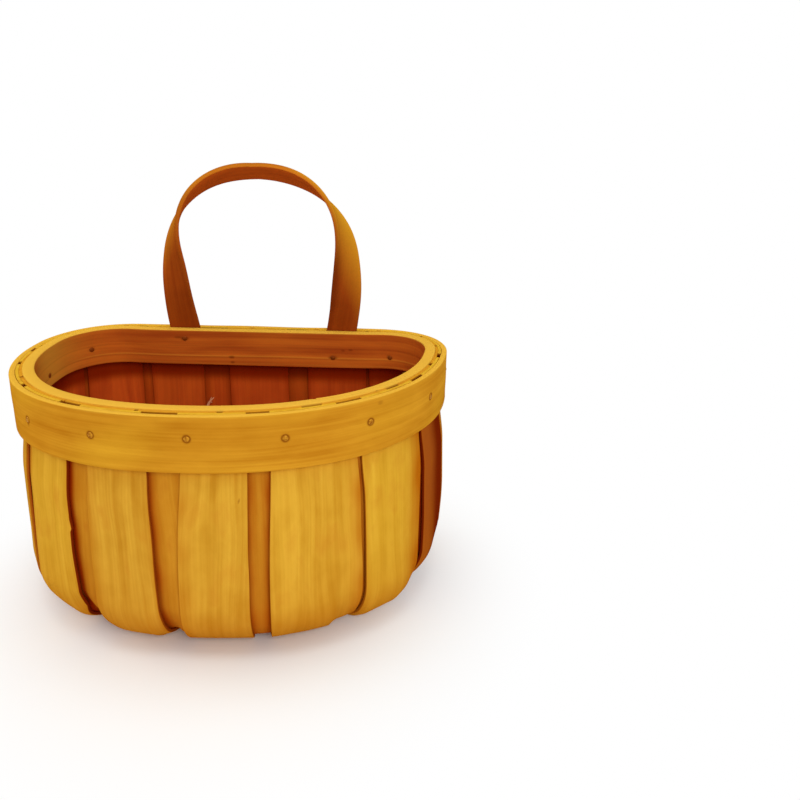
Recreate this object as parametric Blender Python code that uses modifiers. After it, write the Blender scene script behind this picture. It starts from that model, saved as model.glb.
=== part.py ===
"""Hanging wall basket of wood veneer: a half-round body of upright staves between two bent hoops, with a bent
handle for the hook. Metres, +Z up, flat back towards +Y, standing on z = 0 with x = 0 and y = 0 mid-way.

The body is one shell surface, worked out from the plan of the rim and an upright section. Each stave is a
patch of that shell, two layers deep, and each hoop follows the same plan. Lengths along the rim run from the
middle of the front towards +X and round to the same place again.
"""

import math

import bmesh
import bpy
import numpy as np

# Plan of the rim, over the outside of the outer hoop
RIM_WIDTH = 0.260
RIM_DEPTH = 0.165
BACK_CORNER_RADIUS = 0.048
FRONT_FULLNESS = 2.2  # exponent of the rounded front: 2 is an ellipse, more is squarer

# Body
BODY_HEIGHT = 0.141
BEND_RADIUS = 0.031
BELLY = 0.0021
BELLY_RUN = 0.026
FLARE = math.radians(2.0)
HUB_FROM_BACK = 0.080
HUB_RADIUS = 0.004
TAIL_PINCH = 0.0040  # what a tail loses on each side of its share of the rim, at the hub
VENEER = 0.0015

# Hoops
OUTER_HOOP_HEIGHT = 0.031
OUTER_HOOP_THICKNESS = 0.0032
INNER_HOOP_HEIGHT = 0.0245
INNER_HOOP_THICKNESS = 0.0064
INNER_HOOP_RISE = 0.0009
HOOP_EDGE_ROUND = 0.0006
LAP_LENGTH = 0.036
LAP_TIP = 0.0005
LAP_STEP = 0.003  # beyond a lap, the run over which the strip comes back to its full thickness
OUTER_LAP_FROM_BACK_MIDDLE = 0.008
INNER_LAP_PLACE = 0.076  # along the rim, between two of the outer nails

# Handle
HANDLE_WIDTH = 0.0196
HANDLE_THICKNESS = 0.0030
HANDLE_EDGE_ROUND = 0.0007
HANDLE_HEIGHT = 0.1063
HANDLE_HALF_SPAN = 0.0579
HANDLE_MIDDLE_X = 0.0041
HANDLE_SHOULDER = 0.049
HANDLE_FULLNESS = 2.26  # exponent of the arch, as for the front of the rim
LEG_DRAW_IN = 0.0048
LEG_DRAW_POWER = 2.1
HANDLE_TAIL_INSET = 0.0012
HANDLE_TOP_TWIST = math.radians(120.0)
HANDLE_TWIST_POWER = 1.42
HANDLE_TWIST_SKEW = math.radians(7.6)  # what the right half is ahead and the left half behind, midway up each
HANDLE_TWIST_LAG = math.radians(9.6)  # what the lower half of each leg is behind and the upper half ahead
TWIST_START = 0.0040
HANDLE_FORWARD = 0.0022
HOOP_SPRING_RUN = 0.060
SPRING_MARKS = 6

# Base disc and nails
DISC_RADIUS = 0.026
DISC_THICKNESS = 0.0015
NAIL_HEAD_RADIUS = 0.0015
NAIL_HEAD_DOME = 0.0006
NAIL_CROWN_RADIUS_SHARE = 0.6  # of the head's radius, out to which its crown is nearly flat
NAIL_CROWN_SHARE = 0.8  # of the dome's height, at that radius
NAIL_RIM_SHARE = 0.25  # of the dome's height, at the head's edge
NAIL_SHANK_RADIUS = 0.00065
NAIL_TIP = 0.0012
NAIL_GRIP = 0.0035
NAIL_SINK = 0.00045
BASE_NAIL_HEAD_RADIUS = 0.0030
BASE_NAIL_CLEARANCE = 0.0005  # from its point up to the surface that the basket stands on

# Fits
SEAT = 0.0003

# Outer staves: width, gap to the next, and how far the left and right edges drift by the foot of the wall.
# The first starts near the middle of the front.
OUTER_STAVES = (
    (0.0346, 0.0120, -0.0058, -0.0024),
    (0.0480, 0.0025, -0.0040, 0.0008),
    (0.0500, 0.0020, 0.0006, -0.0050),
    (0.0395, 0.0035, -0.0048, -0.0040),
    (0.0415, 0.0030, -0.0035, -0.0020),
    (0.0330, 0.0030, -0.0015, 0.0),
    (0.0390, 0.0030, 0.0, 0.0),
    (0.0410, 0.0030, 0.0, 0.0),
    (0.0400, 0.0025, 0.0, 0.0),
    (0.0425, 0.0030, 0.0, 0.0010),
    (0.0390, 0.0030, 0.0010, 0.0020),
    (0.0340, 0.0025, 0.0020, 0.0020),
    (0.0270, 0.0035, 0.0025, 0.0025),
    (0.0340, 0.0130, 0.0020, 0.0040),
    (0.0370, 0.0150, 0.0, 0.0012),
    (0.0362, 0.0192, 0.0, 0.0045),
)
OUTER_START = 0.0024

# Inner staves, read the same way; they cover the gaps of the outer layer.
INNER_STAVES = (
    (0.0415, 0.0030, 0.0, 0.0),
    (0.0410, 0.0110, 0.0, 0.0),
    (0.0420, 0.0100, 0.0, -0.0030),
    (0.0400, 0.0050, -0.0060, -0.0040),
    (0.0360, 0.0030, -0.0030, -0.0020),
    (0.0320, 0.0030, -0.0015, 0.0),
    (0.0320, 0.0020, 0.0, 0.0),
    (0.0400, 0.0135, 0.0, 0.0),
    (0.0405, 0.0180, 0.0, 0.0),
    (0.0365, 0.0065, 0.0, 0.0),
    (0.0420, 0.0030, 0.0, 0.0),
    (0.0370, 0.0030, 0.0, 0.0),
    (0.0385, 0.0025, 0.0, 0.0),
    (0.0260, 0.0025, 0.0, 0.0),
    (0.0500, 0.0030, 0.0, 0.0),
    (0.0440, 0.0020, 0.0, 0.0),
)
INNER_START = -0.0195

# Nails: place along the rim and depth below its top. Those of the first list are driven from outside. Those
# of the last go through the handle's right and left leg, with places measured from each leg's middle line.
OUTER_NAILS = (
    (0.0075, 0.0120),
    (0.0563, 0.0135),
    (0.1031, 0.0130),
    (0.1555, 0.0140),
    (0.2050, 0.0135),
    (-0.1960, 0.0145),
    (-0.1440, 0.0150),
    (-0.0956, 0.0155),
    (-0.0447, 0.0135),
)
INNER_NAILS = (
    (0.2605, 0.0150),
    (-0.2330, 0.0118),
    (-0.1780, 0.0160),
)
LEG_NAILS = (
    (0.0021, 0.0160),
    (0.0007, 0.0050),
)

# Fineness of the facets
CURVE_SAG = 0.00016
LONGEST_FACET = 0.040
BEND_STEPS = 5
TAIL_STEPS = 2
LEG_STEPS = 9
ARCH_STEPS = 26
NAIL_SIDES = 12
HOLE_SIDES = 10
DISC_SIDES = 36
PLAN_POINTS = 2000
STATION_SAMPLES = 400
PROBE = 0.0005  # step of the finite differences
LEAST_STATION = 0.0006  # stations closer than this are made one
MERGE_DISTANCE = 0.00001
BEVEL_ABOVE = math.radians(50.0)
SMOOTH_BELOW = math.radians(35.0)

MIDDLE_Y = RIM_DEPTH / 2
WALL_DROP = BODY_HEIGHT - BEND_RADIUS
STAVE_FACE = OUTER_HOOP_THICKNESS + SEAT
LAYER_PITCH = VENEER + SEAT
INNER_HOOP_FACE = STAVE_FACE + 2 * LAYER_PITCH
LEG_FACE = INNER_HOOP_FACE
HOLE_RADIUS = NAIL_SHANK_RADIUS + SEAT
HEAD_HOLE_RADIUS = NAIL_HEAD_RADIUS + SEAT


def smooth(share):
    """Eased 0 to 1 step, level at both ends."""
    share = np.clip(share, 0.0, 1.0)
    return share * share * (3.0 - 2.0 * share)


def half_plan():
    """Points and outward normals of the right half of the rim, front middle to back middle."""
    half_width = RIM_WIDTH / 2
    front_run = RIM_DEPTH - BACK_CORNER_RADIUS
    angle = np.linspace(0.0, math.pi / 2, PLAN_POINTS)
    sine = np.sin(angle)
    cosine = np.clip(np.cos(angle), 0.0, 1.0)
    power = 2.0 / FRONT_FULLNESS
    front = np.column_stack([half_width * sine**power, -BACK_CORNER_RADIUS - front_run * cosine**power])
    share_x = front[:, 0] / half_width
    share_y = (-BACK_CORNER_RADIUS - front[:, 1]) / front_run
    rise = FRONT_FULLNESS - 1.0
    front_normal = np.column_stack([share_x**rise / half_width, -(share_y**rise) / front_run])
    front_normal /= np.linalg.norm(front_normal, axis=1)[:, None]

    turn = np.linspace(0.0, math.pi / 2, PLAN_POINTS // 2)[1:]
    corner_normal = np.column_stack([np.cos(turn), np.sin(turn)])
    corner_centre = np.array([half_width - BACK_CORNER_RADIUS, -BACK_CORNER_RADIUS])
    corner = corner_centre + BACK_CORNER_RADIUS * corner_normal

    back_x = np.linspace(corner_centre[0], 0.0, PLAN_POINTS // 4)[1:]
    back = np.column_stack([back_x, np.zeros_like(back_x)])
    back_normal = np.tile([0.0, 1.0], (len(back), 1))
    points = np.concatenate([front, corner, back])
    normals = np.concatenate([front_normal, corner_normal, back_normal])
    points[:, 1] += MIDDLE_Y
    return points, normals


def whole_plan():
    """Lengths, points and normals all the way round the rim."""
    points, normals = half_plan()
    flip = np.array([-1.0, 1.0])
    points = np.concatenate([points, points[-2::-1] * flip])
    normals = np.concatenate([normals, normals[-2::-1] * flip])
    steps = np.linalg.norm(np.diff(points, axis=0), axis=1)
    return np.concatenate([[0.0], np.cumsum(steps)]), points, normals


PLAN_LENGTHS, PLAN_XY, PLAN_NORMALS = whole_plan()
ROUND = PLAN_LENGTHS[-1]


def on_rim(length):
    """Point and unit outward normal of the plan at lengths along the rim."""
    place = np.mod(length, ROUND)
    point = np.stack([np.interp(place, PLAN_LENGTHS, PLAN_XY[:, i]) for i in (0, 1)], axis=-1)
    normal = np.stack([np.interp(place, PLAN_LENGTHS, PLAN_NORMALS[:, i]) for i in (0, 1)], axis=-1)
    return point, normal / np.linalg.norm(normal, axis=-1)[..., None]


def back_length(x):
    """Length along the rim of a point on the flat back."""
    return ROUND / 2 - x


def give(normal):
    """Share of the flare and belly that a place has: all at the front and sides, none on the flat back."""
    return 1.0 - np.clip(normal[..., 1], 0.0, 1.0)


def hoop_lean(drop):
    """How far the flared rim has come in at a depth below its top."""
    return math.tan(FLARE) * np.minimum(drop, OUTER_HOOP_HEIGHT)


def wall_offset(normal, drop):
    """Inward offset of the staves' outer face from the rim's plan, at a depth below the rim."""
    belly = BELLY * smooth((drop - OUTER_HOOP_HEIGHT) / BELLY_RUN)
    return STAVE_FACE + give(normal) * (hoop_lean(drop) - belly)


def outer_shell(length, way):
    """Point of the shell's outer face. The way is 0 to 1 down the wall, 1 to 2 round the bend and 2 to 3
    along the base to the hub: a circle's quarter, swung from square off the wall to straight at the hub."""
    point, normal = on_rim(length)
    wall = np.clip(way, 0.0, 1.0)
    bend = np.clip(way - 1.0, 0.0, 1.0) * math.pi / 2
    tail = np.clip(way - 2.0, 0.0, 1.0)
    drop = wall * WALL_DROP
    foot = point - normal * wall_offset(normal, drop)[..., None]
    to_hub = np.array([0.0, MIDDLE_Y - HUB_FROM_BACK]) - foot
    reach = np.linalg.norm(to_hub, axis=-1)
    run = reach - HUB_RADIUS
    inward = BEND_RADIUS * (1.0 - np.cos(bend)) + tail * (run - BEND_RADIUS)
    swing = smooth(inward / run)[..., None]
    direction = -(1.0 - swing) * normal + swing * to_hub / reach[..., None]
    plan = foot + inward[..., None] * direction
    height = BODY_HEIGHT - drop - BEND_RADIUS * np.sin(bend)
    return np.concatenate([plan, height[..., None]], axis=-1)


def shell(length, way, depth):
    """Point at a depth under the shell's outer face, along its normal."""
    length, way, depth = np.broadcast_arrays(length, way, depth)
    along = outer_shell(length + PROBE, way) - outer_shell(length - PROBE, way)
    step = PROBE / WALL_DROP
    late = np.minimum(way + step, 3.0)
    early = np.maximum(way - step, 0.0)
    down = outer_shell(length, late) - outer_shell(length, early)
    outward = np.cross(down, along)
    outward /= np.linalg.norm(outward, axis=-1)[..., None]
    return outer_shell(length, way) - outward * depth[..., None]


def stations(start, end, extra=()):
    """Lengths along the rim, close where it curves, so that no facet sags past CURVE_SAG."""
    fine = np.linspace(start, end, STATION_SAMPLES)
    _, normal = on_rim(fine)
    turned = np.linalg.norm(np.diff(normal, axis=0), axis=1) / np.diff(fine)
    density = np.maximum(np.sqrt(turned / (8.0 * CURVE_SAG)), 1.0 / LONGEST_FACET)
    count = np.concatenate([[0.0], np.cumsum(density * np.diff(fine))])
    whole = max(2, math.ceil(count[-1]))
    spaced = np.interp(np.linspace(0.0, count[-1], whole + 1), count, fine)
    joined = np.unique(np.concatenate([spaced, [x for x in extra if start < x < end]]))
    keep = np.concatenate([[True], np.diff(joined) > LEAST_STATION])
    return joined[keep]


def slab(name, collection, finish, place, rows, columns):
    """A closed strip from a grid, its faces drawn out once for the thickness, and every point sent to its
    place by a function of two indices and a side, 0 or 1."""
    builder = bmesh.new()
    bmesh.ops.create_grid(builder, x_segments=rows, y_segments=columns, size=0.5)
    drawn = bmesh.ops.extrude_face_region(builder, geom=builder.faces[:])
    top = [item for item in drawn["geom"] if isinstance(item, bmesh.types.BMVert)]
    bmesh.ops.translate(builder, verts=top, vec=(0.0, 0.0, 1.0))
    unit = np.array([vertex.co for vertex in builder.verts])
    row = np.rint((unit[:, 0] + 0.5) * rows).astype(int)
    column = np.rint((unit[:, 1] + 0.5) * columns).astype(int)
    side = np.rint(unit[:, 2]).astype(int)
    bmesh.ops.recalc_face_normals(builder, faces=builder.faces[:])
    for vertex, point in zip(builder.verts, place(row, column, side)):
        vertex.co = point
    if builder.calc_volume(signed=True) < 0.0:
        bmesh.ops.reverse_faces(builder, faces=builder.faces[:])
    return add_object(name, collection, finish, builder)


def add_object(name, collection, finish, builder):
    """A new object from a bmesh, in a collection, with a material."""
    mesh = bpy.data.meshes.new(name)
    builder.to_mesh(mesh)
    builder.free()
    piece = bpy.data.objects.new(name, mesh)
    if finish is not None:
        mesh.materials.append(finish)
    collection.objects.link(piece)
    return piece


def round_edges(piece, width):
    """One small round along the piece's long edges."""
    bevel = piece.modifiers.new("edge round", "BEVEL")
    bevel.width = width
    bevel.segments = 1
    bevel.limit_method = "ANGLE"
    bevel.angle_limit = BEVEL_ABOVE


def material(name, colour, roughness):
    """A Principled finish of one colour."""
    finish = bpy.data.materials.new(name)
    finish.use_nodes = True
    shader = finish.node_tree.nodes["Principled BSDF"]
    shader.inputs["Base Color"].default_value = (*colour, 1.0)
    shader.inputs["Roughness"].default_value = roughness
    shader.inputs["Metallic"].default_value = 0.0
    finish.diffuse_color = (*colour, 1.0)
    return finish


def new_collection(name):
    """A collection linked to the scene."""
    collection = bpy.data.collections.new(name)
    bpy.context.scene.collection.children.link(collection)
    return collection


def closed_round(staves):
    """What the staves' widths and gaps are scaled by, so that they close the ring."""
    return ROUND / sum(width + gap for width, gap, _, _ in staves)


def stave_ways():
    """Rows of a stave: down the wall with its belly, round the bend and along the base."""
    drops = [0.0, OUTER_HOOP_HEIGHT, OUTER_HOOP_HEIGHT + BELLY_RUN / 2, OUTER_HOOP_HEIGHT + BELLY_RUN]
    wall = [drop / WALL_DROP for drop in drops] + [1.0]
    bend = [1.0 + (step + 1) / BEND_STEPS for step in range(BEND_STEPS)]
    tail = [2.0 + (step + 1) / TAIL_STEPS for step in range(TAIL_STEPS)]
    return np.array(wall + bend + tail)


def build_staves(layer, staves, start, depth, collection, finish):
    """One layer of staves. Returns each piece with its left and right end along the rim."""
    scale = closed_round(staves)
    ways = stave_ways()
    drifted = smooth(ways)
    pinched = np.clip(ways - 2.0, 0.0, 1.0) * TAIL_PINCH
    made = []
    left = start * scale
    for number, (width, gap, left_drift, right_drift) in enumerate(staves, 1):
        right = left + width * scale
        columns = stations(left, right)
        across = (columns - left) / (right - left)
        low = left + left_drift * scale * drifted + pinched
        high = right + right_drift * scale * drifted - pinched
        lengths = low[:, None] + (high - low)[:, None] * across[None, :]

        def place(row, column, side, lengths=lengths):
            return shell(lengths[row, column], ways[row], depth + side * VENEER)

        name = f"{layer}_stave_{number:02d}"
        piece = slab(name, collection, finish, place, len(ways) - 1, len(columns) - 1)
        made.append((piece, left, right))
        left = right + gap * scale
    return made


def leg_half_span(height):
    """Distance of the handle's middle line from x = 0, at heights over the rim up to the shoulder."""
    return HANDLE_HALF_SPAN - LEG_DRAW_IN * ((HANDLE_SHOULDER - height) / HANDLE_SHOULDER) ** LEG_DRAW_POWER


def handle_tail():
    """How deep the handle's ends reach below the rim: almost to the inner hoop's lower edge."""
    return INNER_HOOP_HEIGHT - INNER_HOOP_RISE - HANDLE_TAIL_INSET


def leg_places():
    """Lengths along the rim where the handle's right and left legs pass behind the inner hoop."""
    middle = leg_half_span(-handle_tail() / 2)
    return back_length(HANDLE_MIDDLE_X + middle), back_length(HANDLE_MIDDLE_X - middle)


def spring_reach():
    """Half the stretch of the back on which the inner hoop stands off the staves: a little past both legs."""
    return leg_half_span(0.0) + HANDLE_WIDTH / 2 + 4 * SEAT


def hoop_spring(length):
    """How far the inner hoop stands off the staves: the handle's thickness from one leg to the other, because
    the stiff strip runs straight over both, and less and less round the corners beyond them."""
    away = np.abs(np.mod(length, ROUND) - back_length(HANDLE_MIDDLE_X)) - spring_reach()
    return (1.0 - smooth(away / HOOP_SPRING_RUN)) * (HANDLE_THICKNESS + SEAT)


def build_hoop(name, face, thickness, top, height, lap_start, spring, collection, finish):
    """A bent strip round the rim with scarfed, lapped ends. The face is the offset of its outer side."""
    total = ROUND + LAP_LENGTH
    tip = LAP_TIP
    full = thickness - LAP_TIP - SEAT
    marks = [LAP_LENGTH, LAP_LENGTH + LAP_STEP, ROUND - LAP_STEP, ROUND]
    if spring is not None:
        eased = spring_reach() + np.linspace(0.0, HOOP_SPRING_RUN, SPRING_MARKS)
        for away in np.concatenate([eased, -eased]):
            marks.append(np.mod(back_length(HANDLE_MIDDLE_X + away) - lap_start, ROUND))
    places = stations(lap_start, lap_start + total, [lap_start + mark for mark in marks])
    travel = places - lap_start
    # Depth of the outer and inner side below the hoop's outer face. The first end keeps its inner side.
    scarf_depths = [thickness - tip, thickness - full, 0.0]
    first = np.interp(travel, [0.0, LAP_LENGTH, LAP_LENGTH + LAP_STEP], scarf_depths)
    second = np.interp(travel, [ROUND - LAP_STEP, ROUND, total], [thickness, full, tip])
    second = np.where(travel < ROUND - LAP_STEP, thickness, second)
    point, normal = on_rim(places)
    stand = np.zeros_like(places) if spring is None else spring(places)

    def place(row, column, side):
        drop = -top + height * column
        inward = face + stand[row] + np.where(side == 1, second[row], first[row])
        inward = inward + give(normal[row]) * hoop_lean(np.maximum(drop, 0.0))
        plan = point[row] - normal[row] * inward[:, None]
        return np.column_stack([plan, BODY_HEIGHT - drop])

    piece = slab(name, collection, finish, place, len(places) - 1, 1)
    round_edges(piece, HOOP_EDGE_ROUND)
    return piece


def handle_line():
    """Middle line of the handle from its left end to its right end, and the share of each half's length."""
    tail = -handle_tail()
    legs = np.linspace(0.0, 1.0, LEG_STEPS + 1)
    low = np.array([tail, tail / 2])
    heights = np.concatenate([low, HANDLE_SHOULDER * legs[:-1]])
    span = leg_half_span(heights)
    turn = np.linspace(0.0, math.pi / 2, ARCH_STEPS // 2 + 1)
    power = 2.0 / HANDLE_FULLNESS
    arch_x = HANDLE_HALF_SPAN * np.clip(np.cos(turn), 0.0, 1.0) ** power
    arch_z = HANDLE_SHOULDER + (HANDLE_HEIGHT - HANDLE_SHOULDER) * np.sin(turn) ** power
    x = np.concatenate([span, arch_x])
    z = np.concatenate([heights, arch_z])
    walked = np.concatenate([[0.0], np.cumsum(np.hypot(np.diff(x), np.diff(z)))])
    above = np.interp(INNER_HOOP_RISE + TWIST_START, z, walked)
    share = np.clip((walked - above) / (walked[-1] - above), 0.0, 1.0)
    x = np.concatenate([-x, x[-2::-1]])
    z = np.concatenate([z, z[-2::-1]])
    share = np.concatenate([share, share[-2::-1]])
    return x, z, share


def build_handle(collection, finish):
    """The handle: a flat strip that stands behind the inner hoop and turns over on its way across the top."""
    x, z, share = handle_line()
    side = np.sign(x)
    side[len(x) // 2] = 0.0
    skew = HANDLE_TWIST_SKEW * np.sin(math.pi * share) * side
    lag = HANDLE_TWIST_LAG * np.sin(2.0 * math.pi * share)
    twist = HANDLE_TOP_TWIST * (1.0 - (1.0 - share) ** HANDLE_TWIST_POWER) + skew - lag
    leg_y = MIDDLE_Y - LEG_FACE - HANDLE_THICKNESS / 2
    y = leg_y - HANDLE_FORWARD * np.sin(math.pi / 2 * share)
    line = np.column_stack([HANDLE_MIDDLE_X + x, y, BODY_HEIGHT + z])
    tangent = np.gradient(line, axis=0)
    tangent[:, 1] = 0.0
    tangent /= np.linalg.norm(tangent, axis=1)[:, None]
    front = np.array([0.0, -1.0, 0.0])
    outward = np.cross(front, tangent)  # away from the loop's inside: left, up and right in turn
    face = np.cos(twist)[:, None] * front + np.sin(twist)[:, None] * outward
    width = np.cross(tangent, face)

    def place(row, column, side_index):
        across = (column - 1) * HANDLE_WIDTH / 2
        through = (side_index - 0.5) * HANDLE_THICKNESS
        return line[row] + width[row] * across[:, None] + face[row] * through[:, None]

    piece = slab("handle", collection, finish, place, len(x) - 1, 2)
    round_edges(piece, HANDLE_EDGE_ROUND)
    return piece


def turned(name, collection, finish, profile, sides, origin, axis):
    """A round piece from a profile of radius and height, top to bottom, stood with its top along the axis."""
    builder = bmesh.new()
    points = [builder.verts.new((radius, 0.0, height)) for radius, height in profile]
    for upper, lower in zip(points, points[1:]):
        builder.edges.new((upper, lower))
    piece = add_object(name, collection, finish, builder)
    screw = piece.modifiers.new("turn", "SCREW")
    screw.steps = sides
    screw.render_steps = sides
    screw.use_merge_vertices = True
    screw.merge_threshold = MERGE_DISTANCE
    piece.location = origin
    direction = np.array(axis) / np.linalg.norm(axis)
    piece.rotation_mode = "AXIS_ANGLE"
    turn = np.cross([0.0, 0.0, 1.0], direction)
    length = np.linalg.norm(turn)
    turn = turn / length if length > 1e-9 else np.array([1.0, 0.0, 0.0])
    piece.rotation_axis_angle = (math.acos(np.clip(direction[2], -1.0, 1.0)), *turn)
    return piece


def nail_profile(head_radius, under, depth):
    """A domed head over a shank with a point. Height 0 is the surface that it is driven in, and the head's
    underside and the point lie at a height and a depth from there."""
    return (
        (0.0, under + NAIL_HEAD_DOME),
        (NAIL_CROWN_RADIUS_SHARE * head_radius, under + NAIL_CROWN_SHARE * NAIL_HEAD_DOME),
        (head_radius, under + NAIL_RIM_SHARE * NAIL_HEAD_DOME),
        (head_radius, under),
        (NAIL_SHANK_RADIUS, under),
        (NAIL_SHANK_RADIUS, NAIL_TIP - depth),
        (0.0, -depth),
    )


def hole_profile(depth):
    """The hole for a nail: a shallow seat for the head, and a bore a little deeper than the point."""
    return (
        (0.0, NAIL_HEAD_DOME + SEAT),
        (HEAD_HOLE_RADIUS, NAIL_HEAD_DOME + SEAT),
        (HEAD_HOLE_RADIUS, -NAIL_SINK),
        (HOLE_RADIUS, -NAIL_SINK),
        (HOLE_RADIUS, -depth - SEAT),
        (0.0, -depth - SEAT),
    )


def hide(cutter):
    """Leaves a cutter out of the picture."""
    cutter.hide_render = True
    cutter.display_type = "WIRE"


def cut(piece, cutter):
    """Takes the cutter's shape out of the piece."""
    hole = piece.modifiers.new("nail hole", "BOOLEAN")
    hole.operation = "DIFFERENCE"
    hole.solver = "EXACT"
    hole.object = cutter


def nail_places(nails, leg_nails):
    """Nails in order round the rim: most keep their share of it, and those in the legs stay with the legs."""
    scale = closed_round(OUTER_STAVES)
    placed = [(length * scale, drop) for length, drop in nails]
    placed += [(leg + beside, drop) for leg, (beside, drop) in zip(leg_places(), leg_nails)]
    return sorted(placed, key=lambda nail: nail[0] % ROUND)


def drive_nails(nails, prefix, from_outside, pieces, collection, cutters, finish):
    """Nails through the rim, each with its hole in every piece that it meets."""
    hoops, staves, handle = pieces
    for number, (length, drop) in enumerate(nails, 1):
        point, normal = on_rim(length)
        lean = give(normal) * hoop_lean(drop)
        stand = float(hoop_spring(np.array([length]))[0])
        inner_side = INNER_HOOP_FACE + stand + INNER_HOOP_THICKNESS
        if from_outside:
            surface, sign = 0.0, 1.0
            depth = INNER_HOOP_FACE + NAIL_GRIP
        else:
            surface, sign = inner_side, -1.0
            depth = inner_side - OUTER_HOOP_THICKNESS / 2
        seat = point - normal * (surface + lean)
        origin = (*seat, BODY_HEIGHT - drop)
        axis = (*(sign * normal), 0.0)
        profile = nail_profile(NAIL_HEAD_RADIUS, SEAT - NAIL_SINK, depth)
        turned(f"{prefix}_{number}", collection, finish, profile, NAIL_SIDES, origin, axis)
        bore = hole_profile(depth)
        cutter = turned(f"{prefix}_hole_{number}", cutters, None, bore, HOLE_SIDES, origin, axis)
        hide(cutter)
        met = list(hoops)
        place = length % ROUND
        for piece, left, right in staves:
            reach = (left - HOLE_RADIUS, right + HOLE_RADIUS)
            if any(reach[0] < place + turn < reach[1] for turn in (-ROUND, 0.0, ROUND)):
                met.append(piece)
        if any(abs(place - leg) < HANDLE_WIDTH / 2 + HOLE_RADIUS for leg in leg_places()):
            met.append(handle)
        for piece in met:
            cut(piece, cutter)


def build_base(collection, cutters, finish, metal):
    """The round veneer patch inside the base, over the place where the staves' tails meet, and its nail."""
    underside = 2 * LAYER_PITCH
    top = underside + DISC_THICKNESS
    builder = bmesh.new()
    bmesh.ops.create_cone(
        builder,
        cap_ends=True,
        segments=DISC_SIDES,
        radius1=DISC_RADIUS,
        radius2=DISC_RADIUS,
        depth=DISC_THICKNESS,
    )
    disc = add_object("base_disc", collection, finish, builder)
    disc.location = (0.0, MIDDLE_Y - HUB_FROM_BACK, underside + DISC_THICKNESS / 2)
    origin = (0.0, MIDDLE_Y - HUB_FROM_BACK, top)
    axis = (0.0, 0.0, 1.0)
    depth = top - BASE_NAIL_CLEARANCE
    profile = nail_profile(BASE_NAIL_HEAD_RADIUS, SEAT, depth)
    turned("base_nail", collection, metal, profile, NAIL_SIDES, origin, axis)
    bore = ((0.0, SEAT), (HOLE_RADIUS, SEAT), (HOLE_RADIUS, -depth), (0.0, -depth))
    cutter = turned("base_nail_hole", cutters, None, bore, HOLE_SIDES, origin, axis)
    hide(cutter)
    cut(disc, cutter)


def main():
    for old in list(bpy.data.objects):
        bpy.data.objects.remove(old, do_unlink=True)
    basket = new_collection("wall_basket")
    cutters = new_collection("nail_hole_cutters")

    outer_wood = material("golden_veneer", (0.66, 0.36, 0.06), 0.5)
    inner_wood = material("inner_veneer", (0.45, 0.17, 0.04), 0.55)
    hoop_wood = material("hoop_wood", (0.64, 0.30, 0.05), 0.45)
    liner_wood = material("inner_hoop_wood", (0.50, 0.20, 0.04), 0.5)
    handle_wood = material("handle_wood", (0.42, 0.13, 0.02), 0.45)
    nail_metal = material("nail_brass", (0.55, 0.36, 0.12), 0.4)

    staves = build_staves("outer", OUTER_STAVES, OUTER_START, 0.0, basket, outer_wood)
    staves += build_staves("inner", INNER_STAVES, INNER_START, LAYER_PITCH, basket, inner_wood)
    outer_lap = back_length(-OUTER_LAP_FROM_BACK_MIDDLE)
    outer_hoop = build_hoop(
        "outer_hoop", 0.0, OUTER_HOOP_THICKNESS, 0.0, OUTER_HOOP_HEIGHT, outer_lap, None, basket, hoop_wood
    )
    inner_hoop = build_hoop(
        "inner_hoop",
        INNER_HOOP_FACE,
        INNER_HOOP_THICKNESS,
        INNER_HOOP_RISE,
        INNER_HOOP_HEIGHT,
        INNER_LAP_PLACE * closed_round(OUTER_STAVES),
        hoop_spring,
        basket,
        liner_wood,
    )
    handle = build_handle(basket, handle_wood)
    build_base(basket, cutters, liner_wood, nail_metal)

    pieces = ((outer_hoop, inner_hoop), staves, handle)
    drive_nails(nail_places(OUTER_NAILS, ()), "outer_nail", True, pieces, basket, cutters, nail_metal)
    drive_nails(nail_places(INNER_NAILS, LEG_NAILS), "inner_nail", False, pieces, basket, cutters, nail_metal)

    for piece in basket.objects:
        piece.data.shade_smooth()
        piece.data.set_sharp_from_angle(angle=SMOOTH_BELOW)


main()
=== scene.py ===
"""Dressed scene of a hanging wall basket of bent wood veneer.

The basket is a half-round body of upright veneer staves in two layers, nailed between a wide outer hoop and
a thicker inner hoop, with a bent strip handle at the back. Every piece is a surface worked out with numpy
from the same named sizes as the solids: metres, +Z up, the flat back towards +Y, standing on z = 0.

Lengths along the rim run from the middle of the front towards +X and round to the same place again. On the
body, a second number, the way, runs from 0 to 1 down the wall, 1 to 2 round the bend and 2 to 3 along the
base to the hub.
"""

from __future__ import annotations

import logging
import math
from collections.abc import Mapping, Sequence
from dataclasses import dataclass, field
from enum import Enum
from functools import cached_property

import bpy
import numpy as np
import numpy.typing as npt
from mathutils import Matrix

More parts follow.
